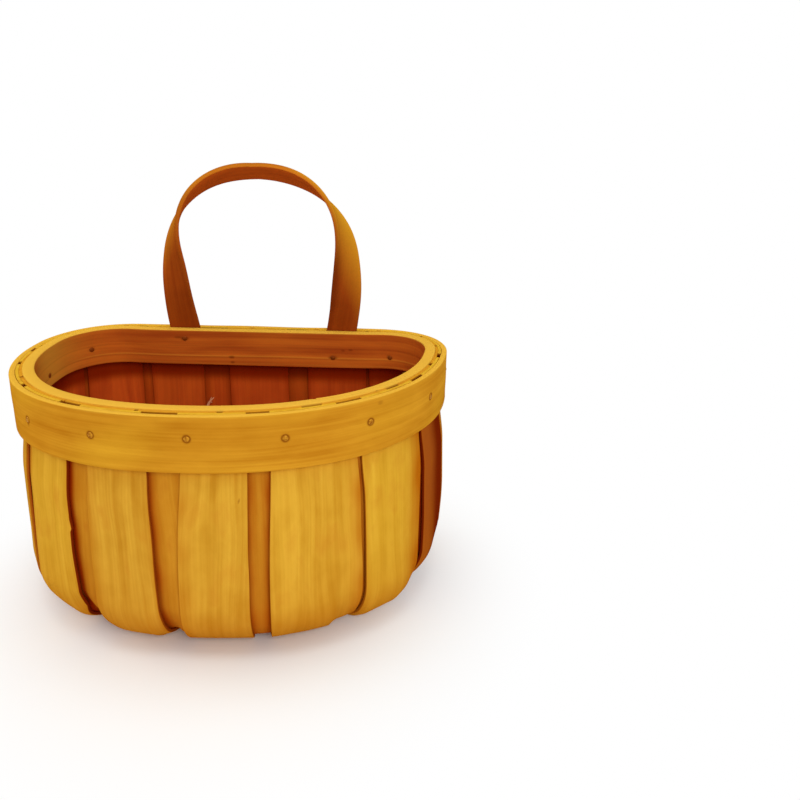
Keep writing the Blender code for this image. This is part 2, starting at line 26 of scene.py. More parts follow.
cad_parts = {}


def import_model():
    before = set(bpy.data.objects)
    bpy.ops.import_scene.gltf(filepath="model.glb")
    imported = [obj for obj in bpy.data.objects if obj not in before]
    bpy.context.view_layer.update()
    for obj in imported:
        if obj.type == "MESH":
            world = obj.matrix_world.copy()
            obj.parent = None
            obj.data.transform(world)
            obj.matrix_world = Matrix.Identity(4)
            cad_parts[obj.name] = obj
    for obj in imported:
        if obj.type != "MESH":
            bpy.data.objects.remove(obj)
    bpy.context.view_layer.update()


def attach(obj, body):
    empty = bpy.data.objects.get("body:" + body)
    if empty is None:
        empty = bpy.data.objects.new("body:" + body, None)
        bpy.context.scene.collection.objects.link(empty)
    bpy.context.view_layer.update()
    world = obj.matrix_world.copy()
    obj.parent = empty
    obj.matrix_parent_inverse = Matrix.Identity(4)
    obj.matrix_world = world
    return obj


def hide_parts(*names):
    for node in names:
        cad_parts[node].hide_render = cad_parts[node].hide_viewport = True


Grid = npt.NDArray[np.float64]
Pair = tuple[float, float]
Span = tuple[float, float, float, float]  # the four corners of a hump
Material = bpy.types.Material
Piece = bpy.types.Object
Socket = bpy.types.NodeSocket
Tree = bpy.types.NodeTree
LOG = logging.getLogger("wall_basket")

MILLIMETRE = 0.001
SEAT = 0.0003  # clearance between touching pieces
BODY = "root"
MIX_FACTOR, MIX_A, MIX_B, MIX_RESULT = 0, 6, 7, 2  # sockets of a Mix node in its colour mode
MIX_LOW, MIX_HIGH = 2, 3  # and those of its two numbers in its number mode
MOST_ROUND = 0.45  # of a strip's thickness, at most, for the radius of each of its corners


def smooth(share: Grid | float) -> Grid:
    """Eased 0 to 1 step: three times the square less twice the cube, level at both ends."""
    held = np.clip(share, 0.0, 1.0)
    return held * held * (3.0 - 2.0 * held)


def hump(value: Grid, start: float, full: float, level: float, end: float) -> Grid:
    """A rise and a fall: 0 before start, 1 from full to level, and 0 after end.

    Args:
        value: where it is read.
        start, full, level, end: the places of its four corners.

    Returns:
        The product of an eased rise and an eased fall.
    """
    return smooth((value - start) / (full - start)) * (1.0 - smooth((value - level) / (end - level)))


def bell(distance: Grid, reach: Grid | float, power: int = 2) -> Grid:
    """A bell curve: e to the minus square, or another power, of the distance over the reach."""
    return np.exp(-((distance / reach) ** power))


def fade(distance: Grid, reach: float) -> Grid:
    """A slow decay: 1 up to distance 0, then e to the minus distance over reach."""
    return np.exp(-np.maximum(distance, 0.0) / reach)


def linear(code: str) -> tuple[float, float, float, float]:
    """Turns an sRGB hex colour into the linear colour that a shader takes.

    Args:
        code: six hex digits after a #.

    Returns:
        Red, green, blue and an alpha of 1.
    """
    parts = np.array([int(code[place : place + 2], 16) for place in (1, 3, 5)]) / 255.0
    low = parts / 12.92
    high = ((parts + 0.055) / 1.055) ** 2.4
    red, green, blue = np.where(parts <= 0.04045, low, high)
    return float(red), float(green), float(blue), 1.0


@dataclass(frozen=True)
class Ripple:
    """Slow seeded unevenness over a surface: a sum of sine waves of random direction and phase."""

    seed: int
    size: float
    wavelength: Pair
    waves: int = 5
    spread: Pair = (0.6, 1.7)  # the shortest and the longest wave, in wavelengths

    def at(self, first: Grid, second: Grid | float = 0.0) -> Grid:
        """Height at two surface coordinates in metres: the mean of sin(2 pi (u / a + v / b) + phase).

        Args:
            first: distance along the first direction, with the first wavelength.
            second: distance along the second direction, with the second wavelength.

        Returns:
            Heights within about plus or minus the size.
        """
        chance = np.random.default_rng(self.seed)
        total = np.zeros(np.broadcast(first, second).shape)
        for _ in range(self.waves):
            pitch_u, pitch_v = np.array(self.wavelength) * chance.uniform(*self.spread, 2)
            phase, way = chance.uniform(0.0, 2.0 * math.pi), chance.choice([-1.0, 1.0])
            total = total + np.sin(2.0 * math.pi * (first / pitch_u + way * second / pitch_v) + phase)
        return self.size * total / math.sqrt(2.0 * self.waves)


class Ends(Enum):
    """How a swept surface is shut at its first and last row."""

    FOLDED = "partners across the strip joined"
    POLES = "the row drawn together in one point"


@dataclass(frozen=True)
class Surface:
    """A closed surface on a grid: rows along it, a ring of points round each row.

    Attributes:
        points: places, rows by ring by 3.
        grain: wood coordinates in metres, across the grain, along it and through the thickness.
        look: side, accent, tone and stain, each 0 to 1; accent and stain also carry painted shade.
        ends: how the first and last rows are shut.
    """

    points: Grid
    grain: Grid
    look: Grid
    ends: Ends = Ends.FOLDED


def ring_faces(rows: int, ring: int, ends: Ends) -> tuple[npt.NDArray[np.int64], npt.NDArray[np.int64]]:
    """Faces of a swept surface: quads between rows, and the two ends.

    Args:
        rows, ring: the grid's counts.
        ends: folded ends join point i with point ring - 1 - i; poles make fans round rows of one point each.

    Returns:
        Four-cornered and three-cornered faces, as rows of point numbers.
    """
    index = np.arange(rows * ring).reshape(rows, ring)
    beside = np.roll(index, -1, axis=1)
    first, last = (0, rows - 1) if ends is Ends.FOLDED else (1, rows - 2)
    quads = np.stack(
        [index[first:last], beside[first:last], beside[first + 1 : last + 1], index[first + 1 : last + 1]], -1
    ).reshape(-1, 4)
    if ends is Ends.FOLDED:
        near = np.arange(ring // 2 - 1)
        far = ring - 1 - near
        start = np.stack([index[0, near], index[0, far], index[0, far - 1], index[0, near + 1]], -1)
        finish = np.stack([index[-1, near], index[-1, near + 1], index[-1, far - 1], index[-1, far]], -1)
        return np.concatenate([quads, start, finish]), np.zeros((0, 3), int)
    top = np.stack([np.full(ring, index[0, 0]), beside[1], index[1]], -1)
    bottom = np.stack([np.full(ring, index[-1, 0]), index[-2], beside[-2]], -1)
    return quads, np.concatenate([top, bottom])


def make_piece(name: str, surface: Surface, material: Material, smooth_below: float = 50.0) -> Piece:
    """Puts a surface into a mesh object that rides on the basket's body.

    Args:
        name: the piece's name.
        surface: its grid.
        material: its finish.
        smooth_below: the sharpest turn, in degrees, that is still shaded as one surface.

    Returns:
        The linked object, at the origin.
    """
    rows, ring = surface.points.shape[:2]
    quads, triangles = ring_faces(rows, ring, surface.ends)
    points = surface.points.reshape(-1, 3)
    halves = np.concatenate([quads[:, [0, 1, 2]], quads[:, [0, 2, 3]], triangles])
    corners = points[halves] - points.mean(axis=0)
    volume = np.einsum("ij,ij->i", corners[:, 0], np.cross(corners[:, 1], corners[:, 2])).sum()
    if volume < 0.0:
        quads, triangles = quads[:, ::-1], triangles[:, ::-1]
    used, renumber = np.unique(np.concatenate([quads.ravel(), triangles.ravel()]), return_inverse=True)

    mesh = bpy.data.meshes.new(name)
    mesh.vertices.add(len(used))
    mesh.vertices.foreach_set("co", points[used].ravel())
    mesh.loops.add(len(renumber))
    mesh.loops.foreach_set("vertex_index", renumber.ravel())
    starts = np.concatenate([4 * np.arange(len(quads)), 4 * len(quads) + 3 * np.arange(len(triangles))])
    mesh.polygons.add(len(starts))
    mesh.polygons.foreach_set("loop_start", starts)
    mesh.update(calc_edges=True)
    mesh.attributes.new("grain", "FLOAT_VECTOR", "POINT").data.foreach_set(
        "vector", surface.grain.reshape(-1, 3)[used].ravel()
    )
    mesh.attributes.new("look", "FLOAT_COLOR", "POINT").data.foreach_set(
        "color", surface.look.reshape(-1, 4)[used].ravel()
    )
    mesh.shade_smooth()
    mesh.set_sharp_from_angle(angle=math.radians(smooth_below))
    mesh.materials.append(material)
    piece = bpy.data.objects.new(name, mesh)
    bpy.context.scene.collection.objects.link(piece)
    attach(piece, BODY)
    return piece


def plain_look(points: Grid, tone: float, stain: float) -> Grid:
    """The same look all over a grid of points: the face with no accent, and the given tone and stain."""
    return np.broadcast_to([0.0, 0.0, tone, stain], points.shape[:2] + (4,))


def end_inset(rows: int, chamfer: float) -> Grid:
    """What a strip's chamfered ends take off its section.

    Args:
        rows: how many rows it has.
        chamfer: what comes off at the first and the last.

    Returns:
        One number a row, 0 between the ends.
    """
    inset = np.zeros(rows)
    inset[[0, -1]] = chamfer
    return inset


def stand_in(piece: Piece, node: str) -> Piece:
    """Says which solid a piece stands for, hides that solid, and reports it.

    Args:
        piece: the dressed piece.
        node: the solid's name.

    Returns:
        The same piece.
    """
    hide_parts(node)
    LOG.info("%s stands for %s: %d faces", piece.name, node, len(piece.data.polygons))
    return piece


@dataclass(frozen=True)
class StripSection:
    """Cut through a strip of wood, as half an outline from one edge's middle over the face to the other's.

    The other half is the same seen from the back. Each point has a share of the width between the corners'
    centres, and how many corner radii it lies out from there and sinks below the face.
    """

    face: Grid
    corner: Grid
    sink: Grid

    @classmethod
    def make(cls, shares: Grid, corner_steps: int = 3) -> StripSection:
        """A section with a quarter circle at each corner.

        Args:
            shares: where its face has points, in shares of the width.
            corner_steps: edges in each quarter circle.

        Returns:
            The section.
        """
        turn = np.linspace(0.0, math.pi / 2, corner_steps + 1)[1:]
        out, sunk = np.sin(turn), 1.0 - np.cos(turn)
        none, ones, zeros = np.zeros(len(shares)), np.ones(len(turn)), np.zeros(len(turn))
        return cls(
            face=np.concatenate([zeros, shares, ones]),
            corner=np.concatenate([-out[::-1], none, out]),
            sink=np.concatenate([sunk[::-1], none, sunk]),
        )

    def across(self, width: Grid, round_off: float, inset: Grid) -> Grid:
        """Distance from the strip's first edge: the share of the inner width plus the corner's reach.

        Args:
            width: the strip's width at each row.
            round_off: the corners' radius.
            inset: what the ends' chamfer takes off all round, at each row.

        Returns:
            Rows by ring.
        """
        inner = width - 2.0 * (inset + round_off)
        half = (inset + round_off)[:, None] + self.face * inner[:, None] + self.corner * round_off
        return np.concatenate([half, half[:, ::-1]], axis=1)

    def through(self, thickness: Grid, round_off: float, inset: Grid) -> Grid:
        """Depth below the strip's first face: the sink times the radius, and the same from behind.

        Args:
            thickness: the strip's thickness at each row.
            round_off, inset: as for across, with the radius held to a part of the thickness.

        Returns:
            Rows by ring, in the same order as across.
        """
        radius = np.minimum(round_off, MOST_ROUND * (thickness - 2.0 * inset))
        half = inset[:, None] + self.sink * radius[:, None]
        return np.concatenate([half, thickness[:, None] - half[:, ::-1]], axis=1)


def edge_weighted(count: int, crowd: float) -> Grid:
    """Shares from 0 to 1 that crowd towards both ends: the straight share less a sine of it."""
    even = np.linspace(0.0, 1.0, count)
    return even - crowd * np.sin(2.0 * math.pi * even) / (2.0 * math.pi)


def spaced(places: Grid, apart: float) -> Grid:
    """Places in order, without those too close behind the one before.

    Args:
        places: numbers in any order.
        apart: the least step that is kept.

    Returns:
        The places left, always with the first and the last.
    """
    joined = np.unique(places)
    keep = np.concatenate([[True], np.diff(joined) > apart])
    keep[-1] = True
    return joined[keep]


@dataclass(frozen=True)
class RimPlan:
    """Plan of the rim outside the outer hoop: a full rounded front, two corner arcs and a flat back."""

    width: float = 0.260
    depth: float = 0.165
    corner_radius: float = 0.048
    fullness: float = 2.2
    steps: int = 2000

    @cached_property
    def trace(self) -> tuple[Grid, Grid, Grid]:
        """Walks all the way round the plan.

        The front is a superellipse, x to the power n plus y to the power n equal to 1 on half the width and
        the front's run. A quarter circle joins it to the straight back, and the left half mirrors the right.

        Returns:
            Lengths, points and outward normals.
        """
        half_width, run = self.width / 2, self.depth - self.corner_radius
        angle = np.linspace(0.0, math.pi / 2, self.steps)
        power = 2.0 / self.fullness
        share_x = np.sin(angle) ** power
        share_y = np.clip(np.cos(angle), 0.0, 1.0) ** power
        front = np.column_stack([half_width * share_x, -self.corner_radius - run * share_y])
        rise = self.fullness - 1.0
        front_normal = np.column_stack([share_x**rise / half_width, -(share_y**rise) / run])
        front_normal /= np.linalg.norm(front_normal, axis=1)[:, None]
        turn = np.linspace(0.0, math.pi / 2, self.steps // 2)[1:]
        corner_normal = np.column_stack([np.cos(turn), np.sin(turn)])
        centre = np.array([half_width - self.corner_radius, -self.corner_radius])
        back_x = np.linspace(centre[0], 0.0, self.steps // 4)[1:]
        back = np.column_stack([back_x, np.zeros_like(back_x)])
        points = np.concatenate([front, centre + self.corner_radius * corner_normal, back])
        normals = np.concatenate([front_normal, corner_normal, np.tile([0.0, 1.0], (len(back), 1))])
        points[:, 1] += self.depth / 2
        flip = np.array([-1.0, 1.0])
        points = np.concatenate([points, points[-2::-1] * flip])
        normals = np.concatenate([normals, normals[-2::-1] * flip])
        steps = np.linalg.norm(np.diff(points, axis=0), axis=1)
        return np.concatenate([[0.0], np.cumsum(steps)]), points, normals

    @property
    def round(self) -> float:
        """Length once round the rim."""
        return float(self.trace[0][-1])

    def at(self, length: Grid) -> tuple[Grid, Grid]:
        """Point and normal of the plan, read off its trace by length.

        Args:
            length: lengths along the rim, of any shape.

        Returns:
            Points and unit outward normals, with x and y last.
        """
        lengths, points, normals = self.trace
        place = np.mod(length, self.round)
        point = np.stack([np.interp(place, lengths, points[:, axis]) for axis in (0, 1)], axis=-1)
        normal = np.stack([np.interp(place, lengths, normals[:, axis]) for axis in (0, 1)], axis=-1)
        return point, normal / np.linalg.norm(normal, axis=-1)[..., None]

    def wrapped(self, length: Grid) -> Grid:
        """A length along the rim, or the difference of two, taken the shorter way round."""
        return np.mod(length + self.round / 2, self.round) - self.round / 2

    def back_length(self, x: float) -> float:
        """Length along the rim of a point on the flat back."""
        return self.round / 2 - x


@dataclass(frozen=True)
class BodyShell:
    """The surface that the staves lie on, from the rim down the wall, round the bend and in to the hub."""

    rim: RimPlan
    height: float = 0.141
    bend_radius: float = 0.031
    belly: float = 0.0021
    belly_run: float = 0.026
    flare: float = math.radians(2.0)
    hub_from_back: float = 0.080
    hub_radius: float = 0.004
    hoop_height: float = 0.031
    face: float = 0.0035
    probe: float = 0.0005
    mean_tail: float = 0.055
    tuck_in: Span = (0.74, 1.42, 1.80, 2.25)  # ways over which the foot is drawn in
    tuck_out: Span = (0.74, 1.42, 1.45, 1.92)  # ways over which it stands out

    @property
    def wall_drop(self) -> float:
        """Height of the upright wall, from the rim down to the bend."""
        return self.height - self.bend_radius

    @property
    def hub(self) -> Grid:
        """Plan of the place where the staves' tails meet."""
        return np.array([0.0, self.rim.depth / 2 - self.hub_from_back])

    def give(self, normal: Grid) -> Grid:
        """Share of the flare and belly at a place: all at the front and sides, none on the flat back."""
        return 1.0 - np.clip(normal[..., 1], 0.0, 1.0)

    def hoop_lean(self, drop: Grid) -> Grid:
        """How far the flared rim has come in at a depth below its top."""
        return math.tan(self.flare) * np.clip(drop, 0.0, self.hoop_height)

    def outer(self, length: Grid, way: Grid) -> Grid:
        """Point of the staves' outer face.

        The wall goes straight down at an offset from the plan, which grows with the flare and shrinks with
        the belly. The bend is a quarter circle, whose direction swings from square off the wall to straight
        at the hub, and the tail runs flat along the base.

        Args:
            length: lengths along the rim.
            way: 0 to 1 wall, 1 to 2 bend, 2 to 3 tail.

        Returns:
            Points, with one more axis of 3.
        """
        point, normal = self.rim.at(length)
        bend = np.clip(way - 1.0, 0.0, 1.0) * math.pi / 2
        tail = np.clip(way - 2.0, 0.0, 1.0)
        drop = np.clip(way, 0.0, 1.0) * self.wall_drop
        belly = self.belly * smooth((drop - self.hoop_height) / self.belly_run)
        offset = self.face + self.give(normal) * (self.hoop_lean(drop) - belly)
        foot = point - normal * offset[..., None]
        to_hub = self.hub - foot
        reach = np.linalg.norm(to_hub, axis=-1)
        run = reach - self.hub_radius
        inward = self.bend_radius * (1.0 - np.cos(bend)) + tail * (run - self.bend_radius)
        swing = smooth(inward / run)[..., None]
        direction = -(1.0 - swing) * normal + swing * to_hub / reach[..., None]
        plan = foot + inward[..., None] * direction
        high = self.height - drop - self.bend_radius * np.sin(bend)
        return np.concatenate([plan, high[..., None]], axis=-1)

    def point(self, length: Grid, way: Grid, depth: Grid) -> Grid:
        """Point under the outer face, along its normal: the cross product of two short steps.

        Args:
            length: along the rim.
            way: down the wall, round the bend and along the base.
            depth: how far under the face.

        Returns:
            Points, with x, y and z last.
        """
        length, way, depth = np.broadcast_arrays(length, way, depth)
        along = self.outer(length + self.probe, way) - self.outer(length - self.probe, way)
        step = self.probe / self.wall_drop
        after, before = np.minimum(way + step, 3.0), np.maximum(way - step, 0.0)
        down = self.outer(length, after) - self.outer(length, before)
        outward = np.cross(down, along)
        outward /= np.linalg.norm(outward, axis=-1)[..., None]
        return self.outer(length, way) - outward * depth[..., None]

    def tuck(self, length: Grid, way: Grid) -> Grid:
        """How far the wood is drawn in at the foot: the table of tucks, times a hump over the bend.

        Where it stands out instead, the hump ends before the tail, so that nothing reaches below the ground.

        Args:
            length: along the rim.
            way: down the body.

        Returns:
            The depth, under 0 where it stands out.
        """
        lengths, depths = np.array(TUCKS).T * MILLIMETRE
        drawn = np.interp(self.rim.wrapped(length), lengths, depths)
        return drawn * np.where(drawn < 0.0, hump(way, *self.tuck_out), hump(way, *self.tuck_in))

    def travelled(self, way: Grid) -> Grid:
        """Distance down a stave from the rim, with the tail taken at its mean length."""
        bend = np.clip(way - 1.0, 0.0, 1.0) * self.bend_radius * math.pi / 2
        return np.clip(way, 0.0, 1.0) * self.wall_drop + bend + np.clip(way - 2.0, 0.0, 1.0) * self.mean_tail


def add_node(
    tree: Tree,
    kind: str,
    inputs: Mapping[str | int, object] | None = None,
    **settings: object,
) -> bpy.types.Node:
    """Adds a shader node, with its settings, constants and links.

    Args:
        tree: the material's or world's node tree.
        kind: the node's type name.
        inputs: for each input's name or number, a socket to link from or a constant.
        settings: the node's own properties.

    Returns:
        The node.
    """
    node = tree.nodes.new(kind)
    for key, value in settings.items():
        setattr(node, key, value)
    for key, value in (inputs or {}).items():
        if isinstance(value, Socket):
            tree.links.new(value, node.inputs[key])
        else:
            node.inputs[key].default_value = value
    return node


def new_material(name: str) -> tuple[Material, Tree, bpy.types.Node]:
    """Starts a material.

    Args:
        name: the material's name.

    Returns:
        It, its node tree and its Principled shader.
    """
    material = bpy.data.materials.new(name)
    material.use_nodes = True
    tree = material.node_tree
    return material, tree, tree.nodes["Principled BSDF"]


def blend(tree: Tree, factor: Socket | float, first: object, second: object) -> Socket:
    """Colour between two colours, each a socket or a constant."""
    inputs = {MIX_FACTOR: factor, MIX_A: first, MIX_B: second}
    return add_node(tree, "ShaderNodeMix", inputs, data_type="RGBA").outputs[MIX_RESULT]


@dataclass(frozen=True)
class WoodGrain:
    """Sizes of a wood's figure, in millimetres: width across the grain and length along it.

    Attributes:
        band: broad soft bands.
        streak: fine streaks.
        mottle: blotches where the stain took more.
        stray: how far a line strays, and over what width and length.
        contrast: half the span of noise that the figure's light and dark are drawn from; more is softer.
        streak_share, mottle_share: of the streaks in bands and streaks, and of the blotches in all three.
        blotch_span: the noise at which a blotch starts, and at which it is full.
    """

    band: Pair = (6.5, 150.0)
    streak: Pair = (1.5, 85.0)
    mottle: Pair = (10.0, 20.0)
    stray: tuple[float, float, float] = (11.0, 24.0, 90.0)
    contrast: float = 0.13
    streak_share: float = 0.36
    mottle_share: float = 0.32
    blotch_span: Pair = (0.51, 0.72)

    def stretch(self, tree: Tree, source: Socket, size: Pair, detail: float) -> Socket:
        """Noise on the wood coordinates, each divided by the figure's width or length.

        Args:
            tree: the material's nodes.
            source: wood coordinates in metres.
            size: width across the grain and length along it, in millimetres.
            detail: octaves of finer noise.

        Returns:
            The noise's value.
        """
        across, along = (1.0 / (part * MILLIMETRE) for part in size)
        scaled = add_node(
            tree, "ShaderNodeVectorMath", {0: source, 1: (across, along, across)}, operation="MULTIPLY"
        ).outputs[0]
        inputs = {"Vector": scaled, "Scale": 1.0, "Detail": detail}
        return add_node(tree, "ShaderNodeTexNoise", inputs).outputs[0]

    def build(self, tree: Tree) -> tuple[Socket, Socket, Socket]:
        """The figure: broad bands and fine streaks on lines that wander, and blotches over them.

        Args:
            tree: the material's nodes.

        Returns:
            The light and dark of the figure, the blotches, and the height for the bump.
        """
        source = add_node(tree, "ShaderNodeAttribute", attribute_name="grain").outputs["Vector"]
        far, wide, tall = self.stray
        drift = self.stretch(tree, source, (wide, tall), 1.0)
        reach = {0: drift, 1: far * MILLIMETRE}
        aside = add_node(tree, "ShaderNodeMath", reach, operation="MULTIPLY").outputs[0]
        shift = add_node(tree, "ShaderNodeCombineXYZ", {"X": aside}).outputs[0]
        strayed = add_node(tree, "ShaderNodeVectorMath", {0: source, 1: shift}, operation="ADD").outputs[0]
        figure, streak, cloud = (
            self.stretch(tree, strayed, size, detail)
            for size, detail in ((self.band, 2.0), (self.streak, 2.0), (self.mottle, 3.0))
        )
        for share, other in ((self.streak_share, streak), (self.mottle_share, cloud)):
            inputs = {MIX_FACTOR: share, MIX_LOW: figure, MIX_HIGH: other}
            figure = add_node(tree, "ShaderNodeMix", inputs, data_type="FLOAT").outputs[0]
        made = []
        span = (0.5 - self.contrast, 0.5 + self.contrast)
        for noise, (low, high) in ((figure, span), (cloud, self.blotch_span)):
            inputs = {"Value": noise, "From Min": low, "From Max": high}
            made.append(add_node(tree, "ShaderNodeMapRange", inputs).outputs[0])
        return *made, streak


@dataclass(frozen=True)
class WoodFinish:
    """Stained and clear-sealed wood, nearly matt: streaked along the grain, with a redder back.

    Attributes:
        name: the material's name.
        face, back: pale and deep colours of the two sides.
        accent: the colour where the look's second channel is 1.
        shade, light: what a piece's tone pulls towards, below and above the middle.
        stain: the colour of nail marks, flecks and knots, and of painted shade in gaps and below the hoops.
        grain: the figure's sizes.
        roughness: at the pale and at the deep streaks.
        blotch: how much of the accent the blotches take.
        bump, relief: depth of the streaks, in metres, and how much of it the bump shows.
        back_pull: how far the tone and the blotches change the back, where they change the face by 1.
        ior, specular: of the sealer, the latter as the shader's level.
    """

    name: str
    face: tuple[str, str]
    back: tuple[str, str]
    accent: str
    shade: str
    light: str
    stain: str
    grain: WoodGrain = WoodGrain()
    roughness: Pair = (0.50, 0.60)
    blotch: float = 0.36
    bump: float = 0.00008
    relief: float = 0.5
    back_pull: float = 0.3
    ior: float = 1.5
    specular: float = 0.0

    def make(self) -> Material:
        """Builds the material: the figure mixes each side's two colours, and the look does the rest.

        Returns:
            The material.
        """
        material, tree, shader = new_material(self.name)
        figure, cloud, height = self.grain.build(tree)
        look = add_node(tree, "ShaderNodeAttribute", attribute_name="look")
        parts = add_node(tree, "ShaderNodeSeparateColor", {"Color": look.outputs["Color"]})
        side, accent, tone = (parts.outputs[place] for place in range(3))
        inputs = {"Value": side, "To Min": 1.0, "To Max": self.back_pull}
        held = add_node(tree, "ShaderNodeMapRange", inputs).outputs[0]
        pull = add_node(tree, "ShaderNodeMath", {0: tone, 1: 0.5}, operation="SUBTRACT").outputs[0]
        pull = add_node(tree, "ShaderNodeMath", {0: pull, 1: held}, operation="MULTIPLY").outputs[0]
        face, back = (
            blend(tree, figure, linear(deep), linear(pale)) for pale, deep in (self.face, self.back)
        )
        colour = blend(tree, side, face, back)
        for full, towards in ((-0.5, self.shade), (0.5, self.light)):
            inputs = {"Value": pull, "From Min": 0.0, "From Max": full}
            share = add_node(tree, "ShaderNodeMapRange", inputs).outputs[0]
            colour = blend(tree, share, colour, linear(towards))
        took = add_node(tree, "ShaderNodeMath", {0: cloud, 1: self.blotch}, operation="MULTIPLY").outputs[0]
        took = add_node(tree, "ShaderNodeMath", {0: took, 1: held}, operation="MULTIPLY").outputs[0]
        tinted = add_node(tree, "ShaderNodeMath", {0: took, 1: accent}, operation="MAXIMUM").outputs[0]
        colour = blend(tree, tinted, colour, linear(self.accent))
        colour = blend(tree, look.outputs["Alpha"], colour, linear(self.stain))
        tree.links.new(colour, shader.inputs["Base Color"])
        inputs = {"Value": figure, "To Min": self.roughness[1], "To Max": self.roughness[0]}
        gloss = add_node(tree, "ShaderNodeMapRange", inputs)
        tree.links.new(gloss.outputs[0], shader.inputs["Roughness"])
        inputs = {"Height": height, "Distance": self.bump, "Strength": self.relief}
        bump = add_node(tree, "ShaderNodeBump", inputs)
        tree.links.new(bump.outputs["Normal"], shader.inputs["Normal"])
        shader.inputs["IOR"].default_value = self.ior
        shader.inputs["Specular IOR Level"].default_value = self.specular
        return material


@dataclass(frozen=True)
class NailFinish:
    """Brass nails gone dull: a soft yellow gleam on the dome, and brown where the stain caught it."""

    name: str = "tarnished_brass_drawn"
    bright: str = "#CE9024"
    tarnish: str = "#9A5C0C"
    grime: str = "#7A3008"  # where the look's alpha is 1
    patch: float = 1.1  # size of a tarnished patch, mm
    patch_span: Pair = (0.38, 0.62)  # the noise at which tarnish starts, and at which it is full
    roughness: Pair = (0.42, 0.60)  # of bright and of tarnished metal
    metallic: float = 0.1  # little, as the dull skin hides the metal's gleam
    specular: float = 0.05

    def make(self) -> Material:
        """Builds the material: noise on Object coordinates moves between bright and tarnished metal.

        Returns:
            The material.
        """
        material, tree, shader = new_material(self.name)
        place = add_node(tree, "ShaderNodeTexCoord").outputs["Object"]
        inputs = {"Vector": place, "Scale": 1.0 / (self.patch * MILLIMETRE), "Detail": 3.0}
        noise = add_node(tree, "ShaderNodeTexNoise", inputs).outputs[0]
        inputs = {"Value": noise, "From Min": self.patch_span[0], "From Max": self.patch_span[1]}
        spread = add_node(tree, "ShaderNodeMapRange", inputs).outputs[0]
        look = add_node(tree, "ShaderNodeAttribute", attribute_name="look")
        metal = blend(tree, spread, linear(self.bright), linear(self.tarnish))
        colour = blend(tree, look.outputs["Alpha"], metal, linear(self.grime))
        tree.links.new(colour, shader.inputs["Base Color"])
        inputs = {"Value": spread, "To Min": self.roughness[0], "To Max": self.roughness[1]}
        rough = add_node(tree, "ShaderNodeMapRange", inputs).outputs[0]
        tree.links.new(rough, shader.inputs["Roughness"])
        shader.inputs["Metallic"].default_value = self.metallic
        shader.inputs["Specular IOR Level"].default_value = self.specular
        return material


@dataclass(frozen=True)
class FloorFinish:
    """Matt pale board: near the basket it is plain paint that takes its shadow, and further out white."""

    name: str = "matt_painted_board"
    paint: str = "#F6F5F2"
    roughness: float = 0.9
    plain_within: float = 0.06
    white_beyond: float = 0.20

    def make(self) -> Material:
        """Builds the material: a white glow for eye and mirror rays fades in away from the middle.

        Returns:
            The material.
        """
        material, tree, shader = new_material(self.name)
        shader.inputs["Base Color"].default_value = linear(self.paint)
        shader.inputs["Roughness"].default_value = self.roughness
        place = add_node(tree, "ShaderNodeTexCoord").outputs["Object"]
        away = add_node(tree, "ShaderNodeVectorMath", {0: place}, operation="LENGTH").outputs["Value"]
        inputs = {"Value": away, "From Min": self.plain_within, "From Max": self.white_beyond}
        far = add_node(tree, "ShaderNodeMapRange", inputs, interpolation_type="SMOOTHSTEP").outputs[0]
        glow = add_node(tree, "ShaderNodeEmission", {"Color": linear("#FFFFFF"), "Strength": 1.0}).outputs[0]
        seen = add_node(tree, "ShaderNodeMath", {0: far, 1: sees_backdrop(tree)}, operation="MULTIPLY")
        inputs = {0: seen.outputs[0], 1: shader.outputs[0], 2: glow}
        both = add_node(tree, "ShaderNodeMixShader", inputs).outputs[0]
        tree.links.new(both, tree.nodes["Material Output"].inputs["Surface"])
        return material


def sees_backdrop(tree: Tree) -> Socket:
    """Tells the rays that show the backdrop: those from the eye, off gloss and through glass.

    Args:
        tree: the node tree that asks.

    Returns:
        A socket that is 1 for them, else 0.
    """
    rays = add_node(tree, "ShaderNodeLightPath").outputs
    shown = rays["Is Camera Ray"]
    for kind in ("Is Glossy Ray", "Is Transmission Ray"):
        shown = add_node(tree, "ShaderNodeMath", {0: shown, 1: rays[kind]}, operation="MAXIMUM").outputs[0]
    return shown


@dataclass(frozen=True)
class Stave:
    """One upright strip of veneer.

    Attributes:
        width, gap: at the rim, its width and the gap to the next.
        drift: how far its left and right edges move along the rim by the foot of the wall.
        lift: how far its left and right edges curl off the layer below, round the bend.
        slump: how far the whole strip stands out round the bend.
        tone: 0 is deep and red, 1 pale and yellow.
        snag: how far down its right edge a fibre stands out, or 0.
        soak: for its left and right edge, how much accent the stain left there and how far in it reached.
        shade: how dark the painted shade in the gap beside its left and right edge is, 0 to 1.
        trim: how much its left and right top corners are cut away, under the hoops.
        dusk: how far in from its right edge painted shade darkens it, or 0.
        foot: how far its left and right edges stand back round the bend.
    """

    width: float
    gap: float
    drift: Pair = (0.0, 0.0)
    lift: Pair = (0.0004, 0.0004)
    slump: float = 0.0
    tone: float = 0.5
    snag: float = 0.0
    soak: tuple[Pair, Pair] = ((0.15, 0.0030), (0.15, 0.0030))
    shade: Pair = (0.35, 0.60)
    trim: Pair = (0.0, 0.0)
    dusk: float = 0.0
    foot: Pair = (0.0, 0.0)


